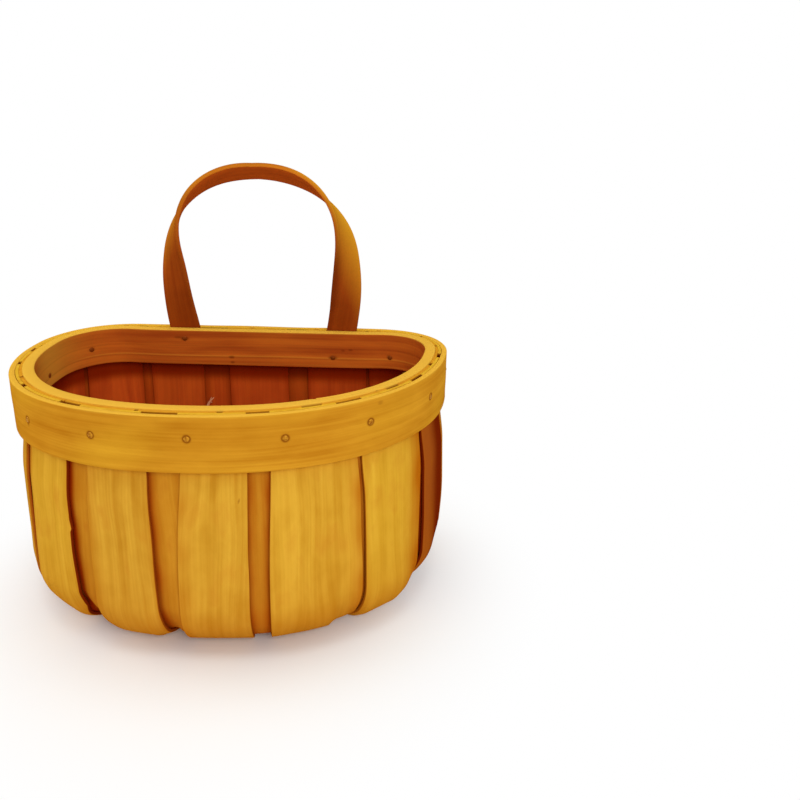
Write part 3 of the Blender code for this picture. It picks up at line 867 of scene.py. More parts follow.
OUTER_STAVES: tuple[Stave, ...] = (
    Stave(
        0.0346, 0.0120, (-0.0058, -0.0024), (0.0002, 0.0003), slump=-0.0008,
        soak=((0.34, 0.0085), (0.16, 0.0022)), shade=(0.18, 0.66),
    ),
    Stave(
        0.0480, 0.0025, (-0.0040, 0.0008), (0.0003, 0.0004), tone=0.54,
        soak=((0.12, 0.0020), (0.62, 0.0062)), shade=(0.76, 0.70), trim=(0.0, 0.0125),
    ),
    Stave(
        0.0500, 0.0020, (0.0006, -0.0066), (0.0003, 0.0006), tone=0.66,
        soak=((0.20, 0.0020), (0.95, 0.0100)), shade=(0.60, 1.0), trim=(0.0, 0.0105),
    ),
    # The stave on the right side: its deep tone and its dusk paint the shade on that side of the basket.
    Stave(
        0.0395, 0.0035, (-0.0016, -0.0040), tone=0.02, dusk=0.031,
        soak=((0.10, 0.0020), (0.10, 0.0020)), shade=(1.0, 0.60), trim=(0.0, 0.0050),
    ),
    Stave(0.0415, 0.0030, (-0.0035, -0.0020), tone=0.30),
    Stave(0.0330, 0.0030, (-0.0015, 0.0), tone=0.55),
    Stave(0.0390, 0.0030, tone=0.48),
    Stave(0.0410, 0.0030, tone=0.58),
    Stave(0.0400, 0.0025, tone=0.44),
    Stave(0.0425, 0.0030, (0.0, 0.0010), tone=0.52),
    Stave(0.0390, 0.0030, (0.0010, 0.0020), tone=0.60),
    Stave(0.0340, 0.0025, (0.0020, 0.0020), tone=0.42),
    Stave(0.0270, 0.0035, (0.0025, 0.0025), tone=0.54, trim=(0.0050, 0.0015)),
    Stave(0.0340, 0.0130, (0.0020, 0.0040), tone=0.46, shade=(0.4, 0.45), trim=(0.0010, -0.0070)),
    Stave(
        0.0370, 0.0150, (-0.0030, 0.0012), (0.0003, 0.0004), tone=0.60, snag=0.0715,
        soak=((0.25, 0.0030), (0.30, 0.0020)), shade=(0.45, 1.0), foot=(0.0, 0.0110),
    ),
    Stave(
        0.0362, 0.0192, (0.0, 0.0021), (0.0003, 0.0004), slump=0.0002, tone=0.46,
        soak=((0.36, 0.0060), (0.30, 0.0022)), shade=(0.12, 0.82), foot=(0.0, 0.0014),
    ),
)
OUTER_START = 0.0024

INNER_STAVES: tuple[Stave, ...] = (
    Stave(0.0415, 0.0030),
    Stave(0.0410, 0.0110, tone=0.45),
    Stave(0.0420, 0.0100, (0.0, -0.0030)),
    Stave(0.0400, 0.0050, (-0.0060, -0.0040), tone=0.46),
    Stave(0.0360, 0.0030, (-0.0030, -0.0020), tone=0.55),
    Stave(0.0320, 0.0030, (-0.0015, 0.0), tone=0.48),
    Stave(0.0320, 0.0020, tone=0.52),
    Stave(0.0400, 0.0135, tone=0.42),
    Stave(0.0405, 0.0180, tone=0.50),
    Stave(0.0365, 0.0065, tone=0.56),
    Stave(0.0420, 0.0030, tone=0.46),
    Stave(0.0370, 0.0030, tone=0.52),
    Stave(0.0385, 0.0025, (-0.0030, 0.0060), tone=0.45, trim=(0.0, -0.0020)),
    Stave(0.0260, 0.0025, (0.0060, 0.0), tone=0.50, trim=(0.0, 0.0045)),
    Stave(0.0500, 0.0030, (0.0, -0.0115), tone=0.56, trim=(-0.0045, -0.0022)),
    Stave(0.0440, 0.0020, (-0.0138, 0.0), tone=0.46),
)
INNER_START = -0.0195
EDGE_PARTS = ("drift", "trim", "foot")  # the fields of a stave that move its two edges

# Where the bent wood is drawn in at the foot, or stands out where the depth is under 0: length along the rim
# and depth, both in millimetres.
TUCKS: tuple[Pair, ...] = (
    (-138.0, 0.0), (-128.0, 0.9), (-118.0, 1.7), (-105.0, 0.2), (-80.0, 0.4), (-76.5, 1.9), (-73.5, 3.4),
    (-70.0, 4.8), (-66.0, 4.8), (-62.0, 2.9), (-58.5, 2.1), (-55.0, 2.2), (-51.5, 1.3), (-47.0, 0.3),
    (-43.0, 0.0), (-23.0, 0.2), (-18.5, 1.9), (-15.5, 3.0), (-12.5, 3.2), (-9.5, 2.4), (-6.5, 0.5),
    (-3.0, 0.0), (80.5, 0.0), (83.0, 1.4), (86.0, 2.2), (92.0, 2.4), (97.0, 2.8), (100.0, 2.2),
    (102.5, 0.0), (106.0, -1.0), (114.0, -1.2), (122.0, -1.6), (128.0, -2.2), (135.0, -1.0), (140.0, 1.4),
    (145.5, 3.4), (150.0, 3.6), (154.0, 2.9), (160.0, 1.6), (167.0, 1.1), (176.0, 3.2), (187.0, 6.2),
    (200.0, 5.2), (215.0, 2.0), (232.0, 0.0),
)


@dataclass(frozen=True)
class Fleck:
    """A small dark fleck in a stave's face, by its place on the shell, with its radius."""

    length: float
    way: float
    radius: float = 0.0006


FLECKS: tuple[Fleck, ...] = (
    Fleck(-0.0335, 0.680),
    Fleck(0.0230, 0.880, 0.0007),
    Fleck(0.0315, 0.425, 0.0005),
    Fleck(0.0860, 0.610, 0.0005),
    Fleck(-0.0900, 0.350, 0.0004),
)


@dataclass(frozen=True)
class StainAndShade:
    """Stain and painted shade on the staves: shares of full colour, reaches in metres, and spans.

    Attributes:
        patches: unevenness of the accent, with its wavelengths.
        tint, tint_fade: painted shade beside a neighbour's edge, share and reach of the bell curve and of the
            slow decay.
        line: a dark line of painted shade at that edge, its half width, what a full shade adds to it, and
            the shade's power.
        line_grows, grows_over: by how much it is wider past the wall, and over which ways it gets so.
        most_edge: the most accent that a stave's edge takes.
        under_hoop: share and reach of the painted shadow, with some stain, right below the outer hoop.
        foot: share of the painted shade round the bend at the foot, the way where it starts and over which
        ways it rises.
        cut_side, cut_over: how near to its edge a stave's cut side starts, and over what it does.
        cut_accent, cut_stain: the accent and stain of that side, the stain scaled by the painted shade
        of the gap beside it.
        behind: share and reach of the painted shade inside, behind a neighbour's edge.
        joint: share and reach of the painted shade inside, along a stave's own edges.
        below_liner, liner_depths: share of the painted shadow inside, below the inner hoop, and where it
            lies.
        under_rim, rim_depths: share of the painted shade between the hoops, and where it lies.
        dusk, dusk_full, dusk_fades: share of a stave's dusk, a painted shade, and for what shares of its
            reach
        it is full and fades.
        fleck: share of a fleck.
        cut_end, end_tone: the way down to which the end on the rim is cut bare, and its tone.
    """

    patches: tuple[float, Pair] = (0.35, (0.5, 0.04))
    tint: Pair = (0.60, 0.0036)
    tint_fade: Pair = (0.36, 0.0085)
    line: tuple[float, float, float] = (0.0006, 0.0021, 2.5)
    line_grows: float = 0.9
    grows_over: float = 0.6
    most_edge: float = 0.97
    under_hoop: Pair = (0.42, 0.0035)
    foot: tuple[float, float, float] = (0.60, 0.66, 0.85)
    cut_side: float = 0.0004
    cut_over: float = 0.0003
    cut_accent: float = 0.85
    cut_stain: float = 0.95
    behind: Pair = (0.45, 0.0040)
    joint: Pair = (0.34, 0.0026)
    below_liner: float = 0.90
    liner_depths: Span = (0.0200, 0.0260, 0.0315, 0.0395)
    under_rim: float = 0.92
    rim_depths: Span = (0.0004, 0.0013, 0.0050, 0.0150)
    dusk: float = 0.95
    dusk_full: float = 0.35
    dusk_fades: float = 0.65
    fleck: float = 0.8
    cut_end: float = 0.004
    end_tone: float = 0.85


@dataclass
class StaveLayer:
    """One layer of staves: the outer lies on the shell's face, and the inner behind it covers its gaps."""

    shell: BodyShell
    finish: Material
    name: str
    slot: str
    staves: tuple[Stave, ...]
    start: float
    depth: float
    bend_push: float  # how far the layer stands in round the bend, to leave the outer one room
    turns_red: float  # by what share of its thickness it has the back's colour
    seed: int
    veneer: float = 0.00172  # with what the pressed layers fill of the solids' clearance
    edge_round: float = 0.00035
    tail_pinch: float = 0.0040  # how far each edge draws in along the tail
    cup: float = 0.0003
    end_chamfer: float = 0.0001
    trim_reach: float = 0.024  # how far down from the rim a trim reaches
    foot_span: Span = (1.10, 1.75, 2.00, 2.50)  # ways over which an edge stands back at the foot
    bend_span: Span = (0.35, 1.0, 1.35, 1.95)  # ways over which the bend pushes, hollows and slumps
    loose_span: Span = (-1.0, 0.0, 1.30, 1.92)  # ways over which the edges curl and the face waves
    loose_wall: Pair = (0.35, 0.65)  # how much they do on the wall, and more in the bend
    hoop_ease: float = 0.012  # over what depth below the outer hoop they start
    jitter: tuple[float, Pair] = (0.00017, (0.045, 1.0))  # of the edges
    wave: tuple[float, Pair] = (0.00009, (0.030, 0.070))  # of the face
    curl_reach: float = 0.008
    snag_out: float = 0.0010  # how far a snagged fibre stands out
    snag_run: Pair = (0.0060, 0.0018)  # its length above its tip, and below
    smooth_below: float = 40.0
    rows: tuple[int, int, int] = (64, 36, 18)  # of its grid on the wall, the bend and the tail
    stain_and_shade: StainAndShade = StainAndShade()
    section: StripSection = field(default_factory=lambda: StripSection.make(edge_weighted(40, 0.55)))
    neighbour: StaveLayer | None = None  # the layer that it lies against

    def edges(self, ways: Grid) -> tuple[Grid, Grid]:
        """Left and right edges of all its staves along the rim: each at the rim, eased by its drift, cut away
        by its trim and its foot, and pinched together along the tail.

        Args:
            ways: where on the wall, bend and tail.

        Returns:
            Two grids, ways by staves.
        """
        drift = smooth(ways)[:, None]
        pinch = np.clip(ways - 2.0, 0.0, 1.0)[:, None] * self.tail_pinch
        corner = 1.0 - smooth(self.shell.travelled(ways) / self.trim_reach)[:, None]
        foot = hump(ways, *self.foot_span)[:, None]
        widths = np.array([stave.width for stave in self.staves])
        pitch = widths + np.array([stave.gap for stave in self.staves])
        left = self.start + np.concatenate([[0.0], np.cumsum(pitch)[:-1]])
        drifts, trims, feet = (
            np.array([getattr(stave, part) for stave in self.staves]).T for part in EDGE_PARTS
        )
        low = left + drifts[0] * drift + trims[0] * corner + feet[0] * foot + pinch
        high = left + widths + drifts[1] * drift - trims[1] * corner - feet[1] * foot - pinch
        return low, high

    def crevices(self, length: Grid, ways: Grid) -> tuple[Grid, Grid, Grid]:
        """The painted shade that the neighbour's edges leave on this layer.

        Args:
            length: lengths along the rim.
            ways: where on the wall, bend and tail.

        Returns:
            The soft painted shade beside the edges, a bell curve and a slow decay of the distance times the
            edge's shade; the thin dark line of painted shade right at them; and the distance from the nearest
            one.
        """
        rim, stain_shade = self.shell.rim, self.stain_and_shade
        (share, reach), (fade_share, fade_reach) = stain_shade.tint, stain_shade.tint_fade
        half, more, power = stain_shade.line
        left, right = self.neighbour.edges(ways)
        shades = np.array([stave.shade for stave in self.neighbour.staves])
        tint, line, nearest = np.zeros_like(length), np.zeros_like(length), np.full(length.shape, rim.round)
        wider = 1.0 + stain_shade.line_grows * smooth((ways - 1.0) / stain_shade.grows_over)[:, None]
        for edge, shade in zip(np.concatenate([left.T, right.T]), shades.T.ravel()):
            away = np.abs(rim.wrapped(length - edge[:, None]))
            soft = share * bell(away, reach) + fade_share * fade(away, fade_reach)
            tint = np.maximum(tint, shade * soft)
            line = np.maximum(line, shade**power * bell(away, (half + more * shade**4) * wider))
            nearest = np.minimum(nearest, away)
        return tint, line, nearest

    def ways(self) -> Grid:
        """Rows from the rim to the hub: close round the bend, and one for the chamfer at each end.

        Returns:
            The way of each row.
        """
        chamfer = self.end_chamfer / self.shell.wall_drop
        wall, bend, tail = (np.linspace(part, part + 1.0, count)[:-1] for part, count in enumerate(self.rows))
        return np.concatenate([[0.0, chamfer], wall[1:], bend, tail, [3.0 - chamfer, 3.0]])

    def surface(self, stave: Stave, number: int) -> Surface:
        """Grid of one stave.

        Its edges drift, jitter and pinch together along the way. Its depth is the layer's plus the section's,
        plus a hollow of 4 a (1 - a) across it in the bend, less its edges' lift, which falls off as a bell
        curve of the distance from the edge.

        Args:
            stave: its sizes.
            number: its place in the layer, from 1, which gives it its own seed.

        Returns:
            The surface, with the grain running down it.
        """
        ways = self.ways()
        down = self.shell.travelled(ways)
        below_hoop = smooth((down - self.shell.hoop_height) / self.hoop_ease)
        seed = self.seed + 10 * number
        jitter = [Ripple(seed + side, *self.jitter).at(down) * below_hoop for side in (0, 1)]
        if stave.snag:
            above, below = self.snag_run
            fibre = hump(down, stave.snag - above, stave.snag, stave.snag, stave.snag + below)
            jitter[1] += self.snag_out * fibre
        low, high = (edge[:, number - 1] + moved for edge, moved in zip(self.edges(ways), jitter))
        inset = end_inset(len(ways), self.end_chamfer)
        across = self.section.across(high - low, self.edge_round, inset)
        through = self.section.through(np.full_like(ways, self.veneer), self.edge_round, inset)
        share = across / (high - low)[:, None]
        bend = hump(ways, *self.bend_span)[:, None]
        always, more = self.loose_wall
        loose = (below_hoop * hump(ways, *self.loose_span))[:, None] * (always + more * bend)
        left, right = (bell(away, self.curl_reach) for away in (across, (high - low)[:, None] - across))
        curl = stave.lift[0] * left + stave.lift[1] * right
        hollow = self.cup * 4.0 * share * (1.0 - share) * bend
        wave = Ripple(seed + 2, *self.wave).at(across, down[:, None]) * loose
        depth = self.depth + through + self.bend_push * bend + hollow
        depth = depth - curl * loose - stave.slump * bend + wave
        length = low[:, None] + across
        points = self.shell.point(length, ways[:, None], depth + self.shell.tuck(length, ways[:, None]))
        look = self.look(stave, length, share, across, through, ways)
        return Surface(points, self.grain(points, down, through, seed), look)

    def grain(self, points: Grid, down: Grid, through: Grid, seed: int) -> Grid:
        """Wood coordinates: the true distance across each row from its middle, then down, then the depth.

        Args:
            points: the stave's grid.
            down: distance from the rim at each row.
            through: depth below the face.
            seed: moves each stave to a place of its own in the wood.

        Returns:
            The coordinates at each point.
        """
        half = points.shape[1] // 2
        steps = np.linalg.norm(np.diff(points[:, :half], axis=1), axis=2)
        walked = np.concatenate([np.zeros((len(points), 1)), np.cumsum(steps, axis=1)], axis=1)
        walked -= walked[:, -1:] / 2
        wide = np.concatenate([walked, walked[:, ::-1]], axis=1)
        away = np.random.default_rng(seed).uniform(0.0, 3.0, 3)
        tall = np.broadcast_to(down[:, None], wide.shape)
        return np.stack([wide + away[0], tall + away[1], through + away[2]], axis=-1)

    def look(self, stave: Stave, length: Grid, share: Grid, across: Grid, through: Grid, ways: Grid) -> Grid:
        """Side from the depth, an accent and a stain, much of both painted shade, and flecks.

        The accent lies along the stave's edges where the stain soaked in, and as painted shade under the
        hoop, round the bend and beside the edges of the staves that it lies against, where the painted shade
        is darkest. The cut end on the rim is pale.

        Args:
            stave: the stave that is dressed.
            length: along the rim.
            share, across: of its width, and the distance from its left edge.
            through: depth below its face.
            ways: down the body, one a row.

        Returns:
            The four channels at each point.
        """
        stain_shade = self.stain_and_shade
        side = smooth(through / (self.turns_red * self.veneer))
        down = self.shell.travelled(ways)[:, None]
        least = 1e-6  # of the share, so that nothing is divided by 0
        wide = across / np.maximum(share, least)
        from_left, from_right = share * wide, (1.0 - share) * wide
        from_edge = np.minimum(from_left, from_right)
        patchy = 1.0 + Ripple(self.seed + 7, *stain_shade.patches).at(length, down)
        outward = self.neighbour.depth > self.depth
        open_side = side if outward else 1.0 - side
        tint, line, nearest = self.crevices(length, ways)

        (left_soak, left_reach), (right_soak, right_reach) = stave.soak
        edge = left_soak * bell(from_left, left_reach)
        edge = patchy * np.maximum(edge, right_soak * bell(from_right, right_reach))
        # Painted shadow of the outer hoop on the staves right below it, with some stain.
        most, reach = stain_shade.under_hoop
        under_hoop = most * fade(down - self.shell.hoop_height, reach)
        # Painted shade round the bend, where the foot turns away from the light.
        most, start, rise = stain_shade.foot
        foot = most * smooth((ways - start) / rise)[:, None]
        # Painted shade beside the edges of the staves that this one lies against.
        tint = np.clip(tint * patchy, 0.0, 1.0) * open_side
        # The cut side is browner, and its stain, scaled by the gap's shade, paints the shade in that gap.
        cut_side = smooth((stain_shade.cut_side - from_edge) / stain_shade.cut_over)
        bare = (1.0 - np.clip(edge, 0.0, stain_shade.most_edge)) * (1.0 - under_hoop) * (1.0 - foot) * (1.0 - tint)
        bare *= 1.0 - stain_shade.cut_accent * cut_side
        accent = (1.0 - bare) * (1.0 - side)

        # Painted shade: on the outer layer's back behind the inner staves' edges, and as a dark line on the
        # inner layer at the outer staves' edges.
        shade = stave.shade[0] + (stave.shade[1] - stave.shade[0]) * share
        dark = stain_shade.behind[0] * bell(nearest, stain_shade.behind[1]) if outward else line
        stain = np.maximum(stain_shade.cut_stain * shade**2 * cut_side, dark * open_side)
        # Painted shade inside, along the joints between the staves.
        joint = stain_shade.joint[0] * bell(from_edge, stain_shade.joint[1]) * side
        # Painted shadow of the inner hoop on the wall inside, right below it.
        below_liner = stain_shade.below_liner * hump(down, *stain_shade.liner_depths) * side
        # Painted shade in the slots between the hoops, where the staves' tops stand.
        under_rim = stain_shade.under_rim * hump(down, *stain_shade.rim_depths)
        stain = 1.0 - (1.0 - stain) * (1.0 - joint) * (1.0 - below_liner) * (1.0 - under_rim)
        # Painted shade on a stave, darkest at its right edge.
        if stave.dusk:
            past = (from_right - stain_shade.dusk_full * stave.dusk) / (stain_shade.dusk_fades * stave.dusk)
            stain = np.maximum(stain, stain_shade.dusk * (1.0 - smooth(past)) * (1.0 - side))
        for fleck in FLECKS:
            off = np.hypot(length - fleck.length, down - self.shell.travelled(np.array(fleck.way)))
            stain = np.maximum(stain, stain_shade.fleck * bell(off, fleck.radius, 4) * (1.0 - side))

        cut = np.where(ways < stain_shade.cut_end, 1.0, 0.0)[:, None]
        tone = np.broadcast_to(stave.tone + (stain_shade.end_tone - stave.tone) * cut, side.shape)
        kept = 1.0 - cut
        return np.stack([side * kept, accent * kept, tone, stain * kept], axis=-1)

    def build(self) -> list[Piece]:
        """Makes every stave of the layer, from its start on the rim round to there again.

        Returns:
            The staves.
        """
        made = []
        for number, stave in enumerate(self.staves, 1):
            surface = self.surface(stave, number)
            piece = make_piece(f"{self.name}_veneer_{number:02d}", surface, self.finish, self.smooth_below)
            made.append(stand_in(piece, f"{self.name}_stave_{number:02d}"))
        return made


@dataclass(frozen=True)
class Mark:
    """A spot on a hoop: a nail's dimple or a knot.

    Attributes:
        length, drop, radius: its place along the rim and below the top, and its size.
        sunk: its depth.
        dark: the stain in it, which round a nail's dimple also paints the shade of the hollow.
        stretch: how many times longer than high it is.
        filled: whether the stain covers it, or only rings it.
    """

    length: float
    drop: float
    radius: float
    sunk: float = 0.0
    dark: float = 0.6
    stretch: float = 1.0
    filled: bool = True


@dataclass(frozen=True)
class GrainLine:
    """A single line of the grain that runs along a hoop, by its depth below the top.

    Attributes:
        drop, half: its depth and half its height.
        pale: how much of the accent it has.
        dark: how much stain it has.
    """

    drop: float
    half: float
    pale: float = 0.0
    dark: float = 0.0


@dataclass(frozen=True)
class LegLook:
    """How the gold grows up one leg of the handle, and how dark its inner edge is low down.

    Attributes:
        gold: the most of it.
        pace: how fast it grows with the share of the leg's length.
        start, slant: that share where it starts at the outer edge, and how much later at the inner one.
        inner_darkening: how dark the inner edge is.
    """

    gold: float
    pace: float
    start: float
    slant: float
    inner_darkening: float

    def grown(self, share: Grid, inward: Grid) -> Grid:
        """The gold, linear in the share of the leg's length less the slant, and held between none and all."""
        return self.gold * np.clip(self.pace * (share - self.start - self.slant * inward), 0.0, 1.0)


@dataclass
class StrapHandle:
    """The handle: a flat strip that stands behind the inner hoop and turns over on its way over the top.

    Attributes:
        height, tail: of its top over the rim, and of the legs' ends under it.
        half_span, middle_x: half the width between its legs' middle lines, and where its own middle is.
        shoulder, fullness: height where the arch starts, and the power of its curve.
        draw_in, draw_power: how far the legs draw in down to the rim, and by what power of the height.
        top_twist, twist_power: its turn at the top, and how early the legs make it.
        twist_skew, twist_lag: how much more halfway up the right side has turned and how much less the left,
            and how much less both have a quarter of the way up and more at three quarters.
        twist_from: the height over the rim where the turn starts.
        forward: how far forward the top stands.
        leg_face: how far the back of the legs is in from the back of the rim's plan.
        leg_rows, arch_rows: rows of its grid on each leg and each half of the arch.
        uneven, bow: unevenness of its width and its face, each with its wavelengths.
        gold_fades: from what share of each half's length the gold fades, and over how much of it.
        paler_edge_over: width of the step from the face to the paler edges.
            paler_edge, paler_edge_rise: how pale those are low down and how much more at the top, and between
            what shares.
        tone: low down, and how much more higher up.
        low_darkening: how dark it is just over the hoop, and its reach.
        inner_edge: from what share of the width the inner edge's darkening starts, and over how much it
            rises.
        inner_span: shares of the length over which that edge is darker.
    """

    shell: BodyShell
    finish: Material
    width: float = 0.0196
    thickness: float = 0.0030
    edge_round: float = 0.0006
    height: float = 0.1063
    half_span: float = 0.0579
    middle_x: float = 0.0041
    shoulder: float = 0.049
    fullness: float = 2.26
    draw_in: float = 0.0048
    draw_power: float = 2.1
    tail: float = 0.0224
    top_twist: float = math.radians(120.0)
    twist_power: float = 1.42
    twist_skew: float = math.radians(7.6)
    twist_lag: float = math.radians(9.6)
    twist_from: float = 0.0049
    forward: float = 0.0022
    leg_face: float = 0.0071
    end_chamfer: float = 0.0003
    leg_rows: int = 52
    arch_rows: int = 72
    uneven: tuple[float, Pair] = (0.00022, (0.05, 1.0))
    bow: tuple[float, Pair] = (0.00012, (0.02, 0.06))
    right_leg: LegLook = LegLook(0.98, 2.0, 0.0, 0.28, 0.50)
    left_leg: LegLook = LegLook(0.64, 2.6, 0.22, 0.20, 0.25)
    gold_fades: Pair = (0.66, 0.34)
    paler_edge_over: float = 0.0005
    paler_edge: Pair = (0.05, 0.24)
    paler_edge_rise: Pair = (0.35, 0.80)
    tone: Pair = (0.42, 0.10)
    low_darkening: Pair = (0.42, 0.010)
    inner_edge: Pair = (0.55, 0.45)
    inner_span: Span = (0.0, 0.1, 0.25, 0.5)

    def span(self, height: Grid | float) -> Grid | float:
        """Distance of the middle line from its own middle, at heights over the rim up to the shoulder."""
        return self.half_span - self.draw_in * ((self.shoulder - height) / self.shoulder) ** self.draw_power

    def spring_reach(self) -> float:
        """Half the stretch of the back on which the inner hoop stands off the staves: just past both legs."""
        return self.span(0.0) + self.width / 2 + 4 * SEAT

    def line(self) -> tuple[Grid, Grid, Grid]:
        """Middle line from the left end to the right one.

        The legs draw in by a power of the height, and the arch is a superellipse on the half span and the
        rise over the shoulder.

        Returns:
            x, z over the rim, and the share of each half's length above the hoop.
        """
        ends = np.array([-self.tail, -self.tail + self.end_chamfer])
        heights = np.concatenate([ends, np.linspace(-self.tail, self.shoulder, self.leg_rows)[1:-1]])
        turn = np.linspace(0.0, math.pi / 2, self.arch_rows)
        power = 2.0 / self.fullness
        arch_x = self.half_span * np.clip(np.cos(turn), 0.0, 1.0) ** power
        arch_z = self.shoulder + (self.height - self.shoulder) * np.sin(turn) ** power
        x = np.concatenate([self.span(heights), arch_x])
        z = np.concatenate([heights, arch_z])
        walked = np.concatenate([[0.0], np.cumsum(np.hypot(np.diff(x), np.diff(z)))])
        above = np.interp(self.twist_from, z, walked)
        share = np.clip((walked - above) / (walked[-1] - above), 0.0, 1.0)
        return (
            np.concatenate([-x, x[-2::-1]]),
            np.concatenate([z, z[-2::-1]]),
            np.concatenate([share, share[-2::-1]]),
        )

    def surface(self) -> Surface:
        """Carries the strip's section along the line, turned by the twist about its tangent.

        Returns:
            The surface, with the grain along it.
        """
        x, z, share = self.line()
        side = np.sign(x) * (np.abs(x) > 1e-9)
        skew = self.twist_skew * np.sin(math.pi * share) * side
        lag = self.twist_lag * np.sin(2.0 * math.pi * share)
        twist = self.top_twist * (1.0 - (1.0 - share) ** self.twist_power) + skew - lag
        leg_y = self.shell.rim.depth / 2 - self.leg_face - self.thickness / 2
        y = leg_y - self.forward * np.sin(math.pi / 2 * share)
        middle = np.column_stack([self.middle_x + x, y, self.shell.height + z])
        tangent = np.gradient(middle, axis=0)
        tangent[:, 1] = 0.0
        tangent /= np.linalg.norm(tangent, axis=1)[:, None]
        front = np.array([0.0, -1.0, 0.0])
        outward = np.column_stack([-tangent[:, 2], np.zeros(len(x)), tangent[:, 0]])
        face = np.cos(twist)[:, None] * front + np.sin(twist)[:, None] * outward
        wide = np.cross(tangent, face)
        walked = np.concatenate([[0.0], np.cumsum(np.linalg.norm(np.diff(middle, axis=0), axis=1))])
        inset = end_inset(len(x), self.end_chamfer)
        width = self.width + Ripple(71, *self.uneven).at(walked) * smooth(share * 6.0)
        section = StripSection.make(edge_weighted(18, 0.5), 4)
        across = section.across(width, self.edge_round, inset)
        through = section.through(np.full(len(x), self.thickness), self.edge_round, inset)
        reach = across - width[:, None] / 2
        bow = Ripple(72, *self.bow).at(reach, walked[:, None]) * smooth(share * 5.0)[:, None]
        rise = self.thickness / 2 - through + bow
        points = middle[:, None] + wide[:, None] * reach[..., None] + face[:, None] * rise[..., None]
        tall = np.broadcast_to(walked[:, None], reach.shape)
        grain = np.stack([reach + 1.7, tall + 0.4, through + 0.9], axis=-1)
        return Surface(points, grain, self.look(x, z, share, through, reach))

    def look(self, x: Grid, z: Grid, share: Grid, through: Grid, reach: Grid) -> Grid:
        """Side from the depth, gold up each leg from its outer edge, paler edges, and darker low down
        and along the inner edge.

        Args:
            x, z: places of the middle line, z over the rim, at each row.
            share: of each half's length over the hoop.
            through: depth below the face.
            reach: distance from the middle line across the strip.

        Returns:
            The four channels at each point.
        """
        side = smooth(through / self.thickness)
        right = (x > 0.0)[:, None]
        inward = 0.5 + reach / self.width
        legs = (self.right_leg, self.left_leg)
        grown = np.where(right, *(leg.grown(share[:, None], inward) for leg in legs))
        start, run = self.gold_fades
        gold = grown * (1.0 - smooth((share - start) / run))[:, None]
        paler_edge = smooth((np.abs(reach) - self.width / 2 + self.edge_round) / self.paler_edge_over)
        start, full = self.paler_edge_rise
        top = smooth((share - start) / (full - start))
        accent = np.maximum(gold * (1.0 - side), paler_edge * (self.paler_edge[0] + self.paler_edge[1] * top)[:, None])
        tone = np.broadcast_to((self.tone[0] + self.tone[1] * smooth(share * 3.0))[:, None], side.shape)
        low = (self.low_darkening[0] * fade(z, self.low_darkening[1]))[:, None]
        start, run = self.inner_edge
        inner = np.where(right, *(leg.inner_darkening for leg in legs)) * smooth((inward - start) / run)
        inner = inner * hump(share, *self.inner_span)[:, None]
        return np.stack([side, accent, tone, np.maximum(low, inner)], axis=-1)

    def build(self) -> Piece:
        """Makes the handle."""
        return stand_in(make_piece("bent_handle_strip", self.surface(), self.finish), "handle")


